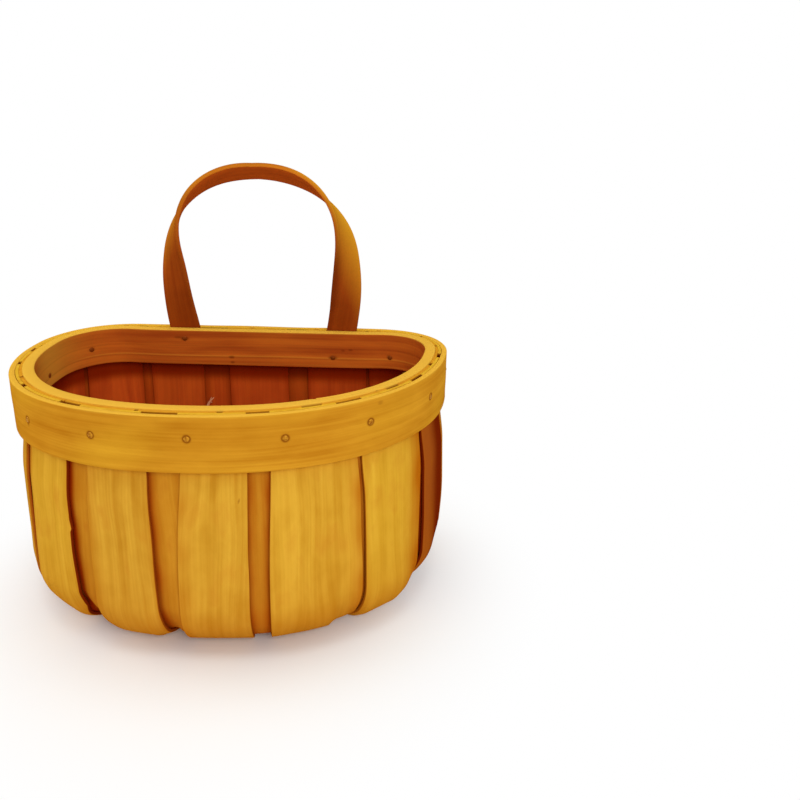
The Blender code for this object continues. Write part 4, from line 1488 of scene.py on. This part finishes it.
@dataclass
class Hoop:
    """A bent strip round the rim, whose scarfed ends lap: the outer band or the inner liner.

    Attributes:
        face: offset of its outer side from the rim's plan.
        top: how far it stands over the staves.
        lap_start: where its first end stands on the rim.
        handle: the handle that it springs over, where it does.
        marks: dimples and knots.
        outward_marks: whether they are on its outer side, the one that shows.
        lines: single lines of its grain.
        bright: where on the rim a painted pool of light lies on its shown side, over what reach and how much.
        lap_length, lap_tip, lap_step: length of the lap, the scarf's thickness at its tip, and the run of the
            step behind it.
        spring_run: over what length past the legs it goes back to the staves.
        uneven, bow, tones, stray: unevenness of its height, its face, its tone and its grain's lines, each
            with its wavelengths.
        pale_edge: how pale its cut upper edge is.
        tone_range: the least and the most tone.
        slot_shade, slot_shade_depths: share of the painted shade at the top of its hidden side, in the slots
        between the hoops, and where it lies.
    """

    shell: BodyShell
    finish: Material
    name: str
    node: str
    slot: str
    face: float
    thickness: float
    top: float
    height: float
    lap_start: float
    handle: StrapHandle | None
    marks: tuple[Mark, ...]
    outward_marks: bool
    seed: int
    lines: tuple[GrainLine, ...] = ()
    bright: tuple[float, float, float] = (0.0, 1.0, 0.0)
    edge_round: float = 0.0005
    lap_length: float = 0.036
    lap_tip: float = 0.0005
    lap_step: float = 0.003
    spring_run: float = 0.060
    end_chamfer: float = 0.00015
    row_step: float = 0.0019
    uneven: tuple[float, Pair] = (0.00022, (0.09, 1.0))
    bow: tuple[float, Pair] = (0.00008, (0.08, 0.02))
    tones: tuple[float, Pair] = (0.12, (0.11, 0.05))
    stray: tuple[float, Pair] = (0.0004, (0.12, 1.0))
    pale_edge: float = 0.85
    tone_range: Pair = (0.05, 0.98)
    slot_shade: float = 0.85
    slot_shade_depths: Span = (0.0004, 0.0012, 0.004, 0.012)

    def rows(self) -> Grid:
        """Rows of the grid: about 2 mm apart, and closer at the marks and laps.

        Returns:
            Their distances from the first end.
        """
        total = self.shell.rim.round + self.lap_length
        even = np.linspace(0.0, total, int(total / self.row_step))
        laps = [0.0, self.end_chamfer, self.lap_length, self.lap_length + self.lap_step]
        laps += [total - part for part in laps]
        near = np.concatenate([np.linspace(-1.0, 1.0, 19), [0.0]])
        spots = []
        for mark in self.marks:
            travel = np.mod(mark.length - self.lap_start, self.shell.rim.round)
            spots.append(travel + near * 2.2 * mark.radius * mark.stretch)
        return spaced(np.concatenate([even, laps, *spots]), 0.12 * MILLIMETRE)

    def spring(self, length: Grid) -> Grid:
        """How far the hoop stands off the staves: full from leg to leg of the handle, then eased away.

        Args:
            length: along the rim.

        Returns:
            The distance, 0 for a hoop that springs over no handle.
        """
        if self.handle is None:
            return np.zeros_like(length)
        rim, handle = self.shell.rim, self.handle
        away = np.abs(np.mod(length, rim.round) - rim.back_length(handle.middle_x)) - handle.spring_reach()
        return (1.0 - smooth(away / self.spring_run)) * (handle.thickness + SEAT)

    def sides(self, travel: Grid) -> tuple[Grid, Grid]:
        """Where its two sides lie: even, but for a straight scarf at each end.

        Args:
            travel: distance from the first end.

        Returns:
            Depth of the outer and of the inner side below its full outer face.
        """
        thick, lap, end = self.thickness, self.lap_length, self.shell.rim.round
        full = thick - self.lap_tip - SEAT
        outer = np.interp(travel, [0.0, lap, lap + self.lap_step], [thick - self.lap_tip, thick - full, 0.0])
        inner = np.interp(travel, [end - self.lap_step, end, end + lap], [thick, full, self.lap_tip])
        return outer, inner

    def surface(self) -> Surface:
        """Carries the hoop's section along the plan, leaning with the flare and dimpled at its marks.

        Returns:
            The surface, with the grain along it.
        """
        travel = self.rows()
        length = self.lap_start + travel
        first, second = self.sides(travel)
        inset = end_inset(len(travel), self.end_chamfer)
        section = StripSection.make(self.shares())
        height = self.height + Ripple(self.seed, *self.uneven).at(travel)
        drop = section.across(height, self.edge_round, inset)
        through = section.through(second - first, self.edge_round, inset)
        drop = drop - self.top - 0.5 * (height - self.height)[:, None]
        bowed = Ripple(self.seed + 1, *self.bow).at(travel[:, None], drop)
        spot, dark = self.spots(length, drop)
        sides = through / (second - first)[:, None]
        marked = smooth(self.shown(sides) * 2.0 - 1.0)
        push = spot * marked * (1.0 if self.outward_marks else -1.0)
        inward = self.face + self.spring(length)[:, None] + first[:, None] + through
        inward = inward + push + bowed * (1.0 - sides)
        point, normal = self.shell.rim.at(length)
        lean = self.shell.give(normal)[:, None] * self.shell.hoop_lean(drop)
        plan = point[:, None] - normal[:, None] * (inward + lean)[..., None]
        points = np.concatenate([plan, (self.shell.height - drop)[..., None]], axis=-1)
        along = np.broadcast_to(length[:, None], drop.shape)
        grain = np.stack([drop + 0.3 * self.seed, along, first[:, None] + through], axis=-1)
        return Surface(points, grain, self.look(travel, drop, sides, dark * marked))

    def shown(self, sides: Grid) -> Grid:
        """How near a place is to the side that shows, from how near it is to the inner one."""
        return 1.0 - sides if self.outward_marks else sides

    def shares(self) -> Grid:
        """Spaces the section's points down its face: even, and closer at the depths of the marks.

        Returns:
            Their shares of the height.
        """
        drops = [(mark.drop + self.top) / self.height for mark in self.marks]
        even = edge_weighted(16, 0.45)
        if not drops:
            return even
        beyond, margin = 0.07, 0.01  # past the marks, and kept clear at the corners
        low, high = max(min(drops) - beyond, margin), min(max(drops) + beyond, 1.0 - margin)
        close = np.arange(low, high, 0.45 * MILLIMETRE / self.height)
        return spaced(np.concatenate([even, close]), 0.2 * MILLIMETRE / self.height)

    def spots(self, length: Grid, drop: Grid) -> tuple[Grid, Grid]:
        """Depth and darkness of the marks: a bell curve in the distance from each one's middle.

        Args:
            length: along the rim, one a row.
            drop: depth below the rim's top.

        Returns:
            How far it is pressed in, and how dark it is.
        """
        deep, dark = np.zeros_like(drop), np.zeros_like(drop)
        ring, ring_width = 0.88, 0.30  # where the stain rings a mark, in radii
        for mark in self.marks:
            away = self.shell.rim.wrapped(length - mark.length)
            far = np.hypot(away[:, None] / mark.stretch, drop - mark.drop) / mark.radius
            deep = np.maximum(deep, mark.sunk * bell(far, 1.0))
            hollow = bell(far, 1.0, 4) if mark.filled else bell(far - ring, ring_width)
            dark = np.maximum(dark, mark.dark * hollow)
        return deep, dark

    def look(self, travel: Grid, drop: Grid, sides: Grid, dark: Grid) -> Grid:
        """Side from the depth, a pale cut edge on top, slow changes of tone along it, a painted pool of
        light, its marks, and painted shade at the top of its hidden side.

        Args:
            travel: distance from the first end, one a row.
            drop: depth below the rim's top.
            sides: from 0 on the outer side to 1 on the inner one.
            dark: stain of the marks.

        Returns:
            The four channels at each point.
        """
        deep, step, outer_part = 0.0006, 0.0005, 0.3  # of the pale edge: depth, fall and part over the staves
        over_staves = smooth((step - drop) / step) * (sides < outer_part)
        on_top = smooth((deep - (drop + self.top)) / step)
        accent = self.pale_edge * np.maximum(on_top, over_staves)
        shown = self.shown(sides)
        # A painted pool of light: paler and brighter on its shown side round one place.
        place, reach, rise = self.bright
        away = self.shell.rim.wrapped(self.lap_start + travel - place)
        glow = rise * bell(away, reach)[:, None] * shown
        tone = 0.5 + Ripple(self.seed + 3, *self.tones).at(travel[:, None], drop)
        tone = np.clip(tone + glow, *self.tone_range)
        accent = np.maximum(accent, glow)
        stray = Ripple(self.seed + 5, *self.stray).at(travel)[:, None]
        for line in self.lines:
            thin = bell(drop + stray - line.drop, line.half) * smooth(shown * 2.0 - 1.0)
            accent = np.maximum(accent, line.pale * thin)
            dark = np.maximum(dark, line.dark * thin)
        # Painted shade at the top of its hidden side, seen in the slots between the hoops.
        slot_shade = self.slot_shade * smooth(3.0 * (1.0 - shown) - 2.0) * hump(drop, *self.slot_shade_depths)
        return np.stack([smooth(sides), accent, tone, np.maximum(dark, slot_shade)], axis=-1)

    def build(self) -> Piece:
        """Makes the hoop."""
        return stand_in(make_piece(self.name, self.surface(), self.finish), self.node)


@dataclass(frozen=True)
class NailRow:
    """Nails through the rim, by length along it and depth below its top, driven from one side.

    Attributes:
        node: the solids' name up to the number.
        places: length and drop of each.
        from_outside: the side that their heads are on.
        grime: how dark the stain has made them.
    """

    node: str
    places: tuple[Pair, ...]
    from_outside: bool
    grime: float


def turned(
    profile: Sequence[Pair], sides: int, origin: Grid, axis: Grid, uneven: float, grime: float = 0.0
) -> Surface:
    """A round piece: a profile of radius and height, carried round an axis.

    Args:
        profile: from the top pole to the bottom one.
        sides: points round it.
        origin: where height 0 stands.
        axis: unit direction of its height.
        uneven: how much its radius changes round it, as a share.
        grime: the stain on it.

    Returns:
        The surface, whose rows are the profile's points: origin + height axis + radius (cos u + sin v).
    """
    radius, height = np.array(profile).T
    turn = np.linspace(0.0, 2.0 * math.pi, sides, endpoint=False)
    helper = np.array([0.0, 0.0, 1.0]) if abs(axis[2]) < 0.9 else np.array([1.0, 0.0, 0.0])
    first = np.cross(helper, axis)
    first /= np.linalg.norm(first)
    second = np.cross(axis, first)
    ripple = 1.0 + uneven * np.sin(3.0 * turn + 40.0 * origin[0]) + 0.5 * uneven * np.sin(5.0 * turn)
    out = (np.cos(turn)[:, None] * first + np.sin(turn)[:, None] * second) * ripple[:, None]
    points = origin + height[:, None, None] * axis + radius[:, None, None] * out
    return Surface(points, points, plain_look(points, 0.5, grime), Ends.POLES)


def nail_profile(head: float, under: float, depth: float) -> list[Pair]:
    """Profile of a nail: an arc over the head, its rounded rim, the shank and the point.

    Args:
        head: radius of the head.
        under: height of the head's underside.
        depth: how far down the point is.

    Returns:
        Radius and height from the top pole to the point; the arc falls with a power of the radius.
    """
    dome, shank, tip = 0.0006, 0.00065, 0.0012  # height of the dome, radius of the shank, length of the point
    fall, power = 0.72, 2.4
    arc = np.linspace(0.0, 1.0, 7)
    crown = [(float(head * share), float(under + dome * (1.0 - fall * share**power))) for share in arc]
    rim = [(head * 1.02, under + 0.12 * dome), (head, under)]
    return crown + rim + [(shank, under), (shank, tip - depth), (0.0, -depth)]


@dataclass
class Nails:
    """All the nails: small domed heads, sunk a little into the wood that they hold.

    Attributes:
        head: radius of a head.
        sides, uneven: points round it, and how much its radius changes.
        grip: how deep in the inner hoop the outer nails' points are.
        sink: how much nearer to the wood a head sits than its solid does.
        outer_thickness: of the outer hoop, in which the inner nails' points are halfway through.
    """

    shell: BodyShell
    finish: Material
    inner_hoop: Hoop
    rows: tuple[NailRow, ...]
    head: float = 0.0015
    sides: int = 20
    uneven: float = 0.03
    grip: float = 0.0035
    sink: float = 0.00045
    outer_thickness: float = 0.0032

    def build(self) -> list[Piece]:
        """Makes every nail square to the rim at its place.

        Returns:
            The nails.
        """
        made = []
        for row in self.rows:
            for number, (length, drop) in enumerate(row.places, 1):
                point, normal = self.shell.rim.at(np.array(length))
                lean = float(self.shell.give(normal) * self.shell.hoop_lean(np.array(drop)))
                stand = float(self.inner_hoop.spring(np.array([length]))[0])
                inner_side = self.inner_hoop.face + stand + self.inner_hoop.thickness
                if row.from_outside:
                    surface, depth, way = 0.0, self.inner_hoop.face + self.grip, normal
                else:
                    surface, depth, way = inner_side, inner_side - self.outer_thickness / 2, -normal
                origin = np.array([*(point - normal * (surface + lean)), self.shell.height - drop])
                profile = nail_profile(self.head, SEAT - self.sink, depth)
                grid = turned(profile, self.sides, origin, np.array([*way, 0.0]), self.uneven, row.grime)
                piece = make_piece(f"brass_{row.node}_{number}", grid, self.finish)
                made.append(stand_in(piece, f"{row.node}_{number}"))
        return made


@dataclass
class BasePatch:
    """The round veneer patch inside the base, over the place where the staves' tails meet, and its nail."""

    shell: BodyShell
    wood: Material
    metal: Material
    radius: float = 0.026
    thickness: float = 0.0015
    edge_round: float = 0.0004
    underside: float = 0.0036
    nail_head: float = 0.0030
    nail_clearance: float = 0.0005

    def build(self) -> list[Piece]:
        """Makes the patch, a low turned disc with rounded edges, and the broad-headed nail through it.

        Returns:
            The patch and its nail.
        """
        hub = np.array([*self.shell.hub, self.underside])
        up = np.array([0.0, 0.0, 1.0])
        thick, soft = self.thickness, self.edge_round
        flat = self.radius - soft
        rings = [(float(share * flat), thick) for share in np.linspace(0.0, 1.0, 12)]
        turn = np.linspace(0.0, math.pi / 2, 4)
        upper = [(flat + soft * math.sin(t), thick - soft + soft * math.cos(t)) for t in turn[1:]]
        lower = [(flat + soft * math.cos(t), soft - soft * math.sin(t)) for t in turn]
        disc = turned(rings + upper + lower + [(0.0, 0.0)], 96, hub, up, 0.006)
        patch = make_piece("round_base_patch", disc, self.wood)
        depth = self.underside + thick - self.nail_clearance
        nail = turned(nail_profile(self.nail_head, SEAT, depth), 32, hub + thick * up, up, 0.01)
        pin = make_piece("brass_base_nail", nail, self.metal)
        return [stand_in(patch, "base_disc"), stand_in(pin, "base_nail")]


@dataclass(frozen=True)
class Splinter:
    """A raised sliver of a stave's wood, which narrows to its tip."""

    name: str
    foot: tuple[float, float, float]
    tip: tuple[float, float, float]
    width: float
    thickness: float = 0.0003
    bow: float = 0.0006
    blunt: float = 0.12  # of its width, at the tip

    def build(self, finish: Material, slot: str) -> Piece:
        """Makes the sliver: a section carried from foot to tip in a bow, its width falling as a root.

        Args:
            finish: its wood.
            slot: the material slot of the stave it came off; not used.

        Returns:
            The piece.
        """
        share = np.linspace(0.0, 1.0, 16)
        foot, tip = np.array(self.foot), np.array(self.tip)
        along = (tip - foot) / np.linalg.norm(tip - foot)
        aside = np.cross(along, [0.0, 1.0, 0.0])
        aside /= np.linalg.norm(aside)
        out = np.cross(aside, along)
        width = self.width * (self.blunt + (1.0 - self.blunt) * np.sqrt(1.0 - share))
        inset = end_inset(len(share), 0.0)
        section = StripSection.make(edge_weighted(4, 0.3), 2)
        across = section.across(width, self.thickness / 3, inset) - width[:, None] / 2
        through = section.through(np.full_like(share, self.thickness), self.thickness / 3, inset)
        bow = self.bow * np.sin(math.pi * share)
        middle = foot + share[:, None] * (tip - foot) + bow[:, None] * aside
        points = middle[:, None] + aside * across[..., None] + out * through[..., None]
        piece = make_piece(self.name, Surface(points, points, plain_look(points, 0.95, 0.0)), finish)
        return piece


SPLINTERS: tuple[Splinter, ...] = (
    Splinter("sliver_on_back_long", (-0.0380, 0.0762, 0.0845), (-0.0316, 0.0715, 0.0925), 0.0018),
    Splinter("sliver_on_back_short", (-0.0352, 0.0758, 0.0872), (-0.0337, 0.0728, 0.0922), 0.0013),
)


@dataclass(frozen=True)
class Lamp:
    """A soft square lamp that looks at a point of the basket."""

    name: str
    place: tuple[float, float, float]
    size: float
    power: float
    colour: str = "#FFFFFF"


@dataclass
class Studio:
    """The floor, the lamps, the white surroundings and the camera."""

    floor_finish: Material
    floor_size: float = 12.0
    fill: float = 0.47
    target: tuple[float, float, float] = (0.0, 0.0, 0.10)
    lamps: tuple[Lamp, ...] = (
        Lamp("key_lamp", (1.0, -2.05, 1.35), 1.1, 27.5),
        Lamp("top_lamp", (0.0, -0.1, 2.0), 1.3, 13.0),
        Lamp("left_lamp", (-2.0, 0.2, 0.9), 1.2, 13.0),
    )
    camera_place: tuple[float, float, float] = (0.15901, -0.46756, 0.29893)
    yaw: float = math.radians(-3.542)
    pitch: float = math.radians(12.81)
    roll: float = math.radians(0.315)
    focal_pixels: float = 850.0
    optical_centre: tuple[float, float] = (443.73, 283.03)  # where the lens looks, in the picture's pixels
    picture: int = 800
    sensor: float = 36.0
    clip_start: float = 0.01

    def floor(self) -> Piece:
        """Lays a wide flat board with its top at z = 0, drawn as one face.

        Returns:
            The floor.
        """
        half = self.floor_size / 2
        mesh = bpy.data.meshes.new("studio_floor")
        corners = np.array([[-half, -half, 0.0], [half, -half, 0.0], [half, half, 0.0], [-half, half, 0.0]])
        mesh.from_pydata(corners.tolist(), [], [(0, 1, 2, 3)])
        mesh.materials.append(self.floor_finish)
        floor = bpy.data.objects.new("studio_floor", mesh)
        bpy.context.scene.collection.objects.link(floor)
        return floor

    def world(self) -> None:
        """Even soft light from all round, which the eye sees as white."""
        world = bpy.data.worlds.new("white_surroundings")
        bpy.context.scene.world = world
        world.use_nodes = True
        tree = world.node_tree
        strength = add_node(
            tree, "ShaderNodeMapRange", {"Value": sees_backdrop(tree), "To Min": self.fill, "To Max": 1.0}
        ).outputs[0]
        background = tree.nodes["Background"]
        background.inputs["Color"].default_value = linear("#FFFFFF")
        tree.links.new(strength, background.inputs["Strength"])

    def light(self) -> None:
        """Hangs the lamps, each turned to the basket."""
        for lamp in self.lamps:
            data = bpy.data.lights.new(lamp.name, "AREA")
            data.shape = "SQUARE"
            data.size = lamp.size
            data.energy = lamp.power
            data.color = linear(lamp.colour)[:3]
            item = bpy.data.objects.new(lamp.name, data)
            away = np.array(lamp.place) - np.array(self.target)
            item.matrix_world = self.looking(lamp.place, -away / np.linalg.norm(away), 0.0)
            bpy.context.scene.collection.objects.link(item)

    def looking(self, place: Sequence[float], forward: Grid, roll: float) -> Matrix:
        """Turns a lamp or the camera, by columns right, up and back.

        Args:
            place: where it stands.
            forward: unit direction in which it looks.
            roll: angle about back.

        Returns:
            Its matrix.
        """
        helper = np.array([0.0, 0.0, 1.0]) if abs(forward[2]) < 0.99 else np.array([0.0, 1.0, 0.0])
        right = np.cross(forward, helper)
        right /= np.linalg.norm(right)
        up = np.cross(right, forward)
        turned_right = math.cos(roll) * right + math.sin(roll) * up
        turned_up = math.cos(roll) * up - math.sin(roll) * right
        matrix = np.eye(4)
        matrix[:3, :3] = np.column_stack([turned_right, turned_up, -forward])
        matrix[:3, 3] = place
        return Matrix(matrix.tolist())

    def camera(self) -> Piece:
        """Sets up the camera, whose lens looks at a point off the picture's middle.

        Returns:
            The camera.
        """
        data = bpy.data.cameras.new("studio_camera")
        data.sensor_width = self.sensor
        data.lens = self.focal_pixels * self.sensor / self.picture
        data.shift_x = 0.5 - self.optical_centre[0] / self.picture
        data.shift_y = self.optical_centre[1] / self.picture - 0.5
        data.clip_start = self.clip_start
        item = bpy.data.objects.new("studio_camera", data)
        forward = np.array([
            math.sin(self.yaw) * math.cos(self.pitch), math.cos(self.yaw) * math.cos(self.pitch),
            -math.sin(self.pitch),
        ])
        item.matrix_world = self.looking(self.camera_place, forward, self.roll)
        bpy.context.scene.collection.objects.link(item)
        bpy.context.scene.camera = item
        return item

    def build(self) -> None:
        """Sets up the whole studio."""
        self.floor()
        self.world()
        self.light()
        self.camera()
        bpy.context.scene.view_settings.view_transform = "Standard"
        LOG.info("studio: floor, %d lamps, world and camera", len(self.lamps))


# Poplar veneer, peeled, stained honey yellow and sealed: golden faces, browner cut edges, a redder inside.
# Its accent and stain also paint shade: below the hoop, round the bend, on the cut sides and in the gaps.
OUTER_VENEER = WoodFinish(
    name="poplar_veneer_peeled_stained",
    face=("#DEAA38", "#C08620"),
    back=("#D45C1C", "#B84616"),
    accent="#B4620A",
    shade="#A04C16",
    light="#E2B22C",
    stain="#721C02",
)
# The inner layer's accent and stain mostly paint the shade in the gaps between the outer staves.
INNER_VENEER = WoodFinish(
    name="poplar_veneer_peeled_inside",
    face=("#D09228", "#BC7A1A"),
    back=("#D65C1E", "#BA4818"),
    accent="#AA500A",
    shade="#8E3602",
    light="#DA9A24",
    stain="#801C00",
)
# The same wood sawn thicker for the hoops, its grain running round the rim and its cut edges left paler.
HOOP_GRAIN = WoodGrain(
    band=(5.0, 200.0), streak=(1.3, 90.0), mottle=(9.0, 30.0), stray=(5.0, 14.0, 120.0), contrast=0.15
)
OUTER_HOOP_WOOD = WoodFinish(
    name="poplar_strip_sawn_stained",
    face=("#D89A28", "#B67414"),
    back=("#C0701A", "#A4540F"),
    accent="#E8B43C",
    shade="#B4680A",
    light="#DEAA28",
    stain="#783606",
    grain=HOOP_GRAIN,
    blotch=0.0,
)
INNER_HOOP_WOOD = WoodFinish(
    name="poplar_liner_sawn_stained",
    face=("#D08E22", "#BC7412"),
    back=("#D26C20", "#A84816"),
    accent="#E8B640",
    shade="#9C3E08",
    light="#E09424",
    stain="#501402",
    grain=WoodGrain(
        band=(4.0, 260.0), streak=(1.2, 150.0), mottle=(6.0, 40.0), stray=(5.0, 12.0, 110.0), contrast=0.15
    ),
    blotch=0.0,
)
# The same poplar where a sliver has split off after the staining, still pale.
RAW_WOOD = WoodFinish(
    name="poplar_split_unstained",
    face=("#FFC48C", "#F0A868"),
    back=("#F0B486", "#DC9C6A"),
    accent="#E0A070",
    shade="#C88450",
    light="#FFCC98",
    stain="#C07A48",
    blotch=0.0,
)
# Steamed and bent: darker low on the legs and along their inner edges, and golden and paler-edged higher up.
HANDLE_WOOD = WoodFinish(
    name="beech_strip_steam_bent",
    face=("#AA4E14", "#8E3A0E"),
    back=("#C25818", "#A84814"),
    accent="#DA9A22",
    shade="#782404",
    light="#C47A1E",
    stain="#5C1804",
    blotch=0.0,
)

OUTER_NAILS = NailRow(
    "outer_nail",
    (
        (0.0075, 0.0120), (0.0563, 0.0135), (0.1031, 0.0130), (0.1555, 0.0140), (0.2050, 0.0135),
        (-0.1960, 0.0145), (-0.1440, 0.0150), (-0.0956, 0.0155), (-0.0447, 0.0135),
    ),
    from_outside=True,
    grime=0.08,
)
INNER_NAILS = NailRow(
    "inner_nail",
    ((0.2605, 0.0150), (0.3025, 0.0160), (-0.3079, 0.0050), (-0.2330, 0.0118), (-0.1780, 0.0160)),
    from_outside=False,
    grime=0.92,
)
INNER_KNOTS = (
    Mark(-0.3393, 0.0172, 0.0010, dark=0.62, stretch=2.2),
    Mark(-0.3398, 0.0207, 0.0008, dark=0.55, stretch=2.0),
    Mark(-0.3035, 0.0042, 0.0010, dark=0.35, stretch=2.6),
    Mark(0.2955, 0.0108, 0.0007, dark=0.40, stretch=2.0),
    Mark(0.2905, 0.0102, 0.0007, dark=0.45, stretch=2.4),
)
INNER_LINES = (
    GrainLine(0.0163, 0.00040, pale=0.20),
    GrainLine(0.0173, 0.00050, dark=0.22),
    GrainLine(0.0098, 0.00035, dark=0.16),
    GrainLine(0.0215, 0.00040, pale=0.10),
)


def corners(box: Sequence[Sequence[float]]) -> list[list[float]]:
    """A box's two corners as plain lists."""
    return [[float(number) for number in corner] for corner in box]


def main() -> None:
    """Builds the studio and the sub-assemblies in order."""
    logging.basicConfig(level=logging.INFO, format="%(name)s: %(message)s")
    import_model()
    Studio(FloorFinish().make()).build()

    shell = BodyShell(RimPlan())
    inner_wood = INNER_VENEER.make()
    brass = NailFinish().make()
    outer = StaveLayer(
        shell, OUTER_VENEER.make(), "outer", "outer_veneer", OUTER_STAVES, OUTER_START,
        depth=0.0, bend_push=0.0, turns_red=1.0, seed=100,
    )
    inner = StaveLayer(
        shell, inner_wood, "inner", "inner_veneer", INNER_STAVES, INNER_START,
        depth=0.0018, bend_push=0.0007, turns_red=0.4, seed=500, tail_pinch=0.0006, cup=0.0,
    )
    outer.neighbour, inner.neighbour = inner, outer
    outer.build()
    inner.build()
    handle = StrapHandle(shell, HANDLE_WOOD.make())
    handle.build()
    # Each dimple's dark ring is stain together with painted shade of the hollow round the sunk head.
    dimples = tuple(
        Mark(*place, 0.0020, sunk=0.00022, dark=0.85, filled=False) for place in OUTER_NAILS.places
    )
    knot = Mark(0.1093, 0.0036, 0.0012, dark=0.30, stretch=1.5)
    Hoop(
        shell, OUTER_HOOP_WOOD.make(), "outer_hoop_band", "outer_hoop", "outer_hoop_wood",
        face=0.0, thickness=0.00335, top=0.0, height=0.031, lap_start=shell.rim.back_length(-0.008),
        handle=None, marks=(*dimples, knot), outward_marks=True, seed=11,
    ).build()
    seats = tuple(Mark(*place, 0.0015, sunk=0.00025, dark=0.62, stretch=1.9) for place in INNER_NAILS.places)
    inner_hoop = Hoop(
        shell, INNER_HOOP_WOOD.make(), "inner_hoop_band", "inner_hoop", "inner_hoop_wood",
        face=0.0070, thickness=0.0065, top=0.0009, height=0.0238, lap_start=0.076,
        handle=handle, marks=seats + INNER_KNOTS, outward_marks=False, seed=23,
        # bright paints a pool of light on the inside of the hoop's left end.
        lines=INNER_LINES, bright=(-0.176, 0.034, 0.46),
    )
    inner_hoop.build()
    Nails(shell, brass, inner_hoop, (OUTER_NAILS, INNER_NAILS)).build()
    BasePatch(shell, inner_wood, brass).build()
    raw_wood = RAW_WOOD.make()
    for splinter in SPLINTERS:
        splinter.build(raw_wood, "inner_veneer")


if __name__ == "__main__":
    main()
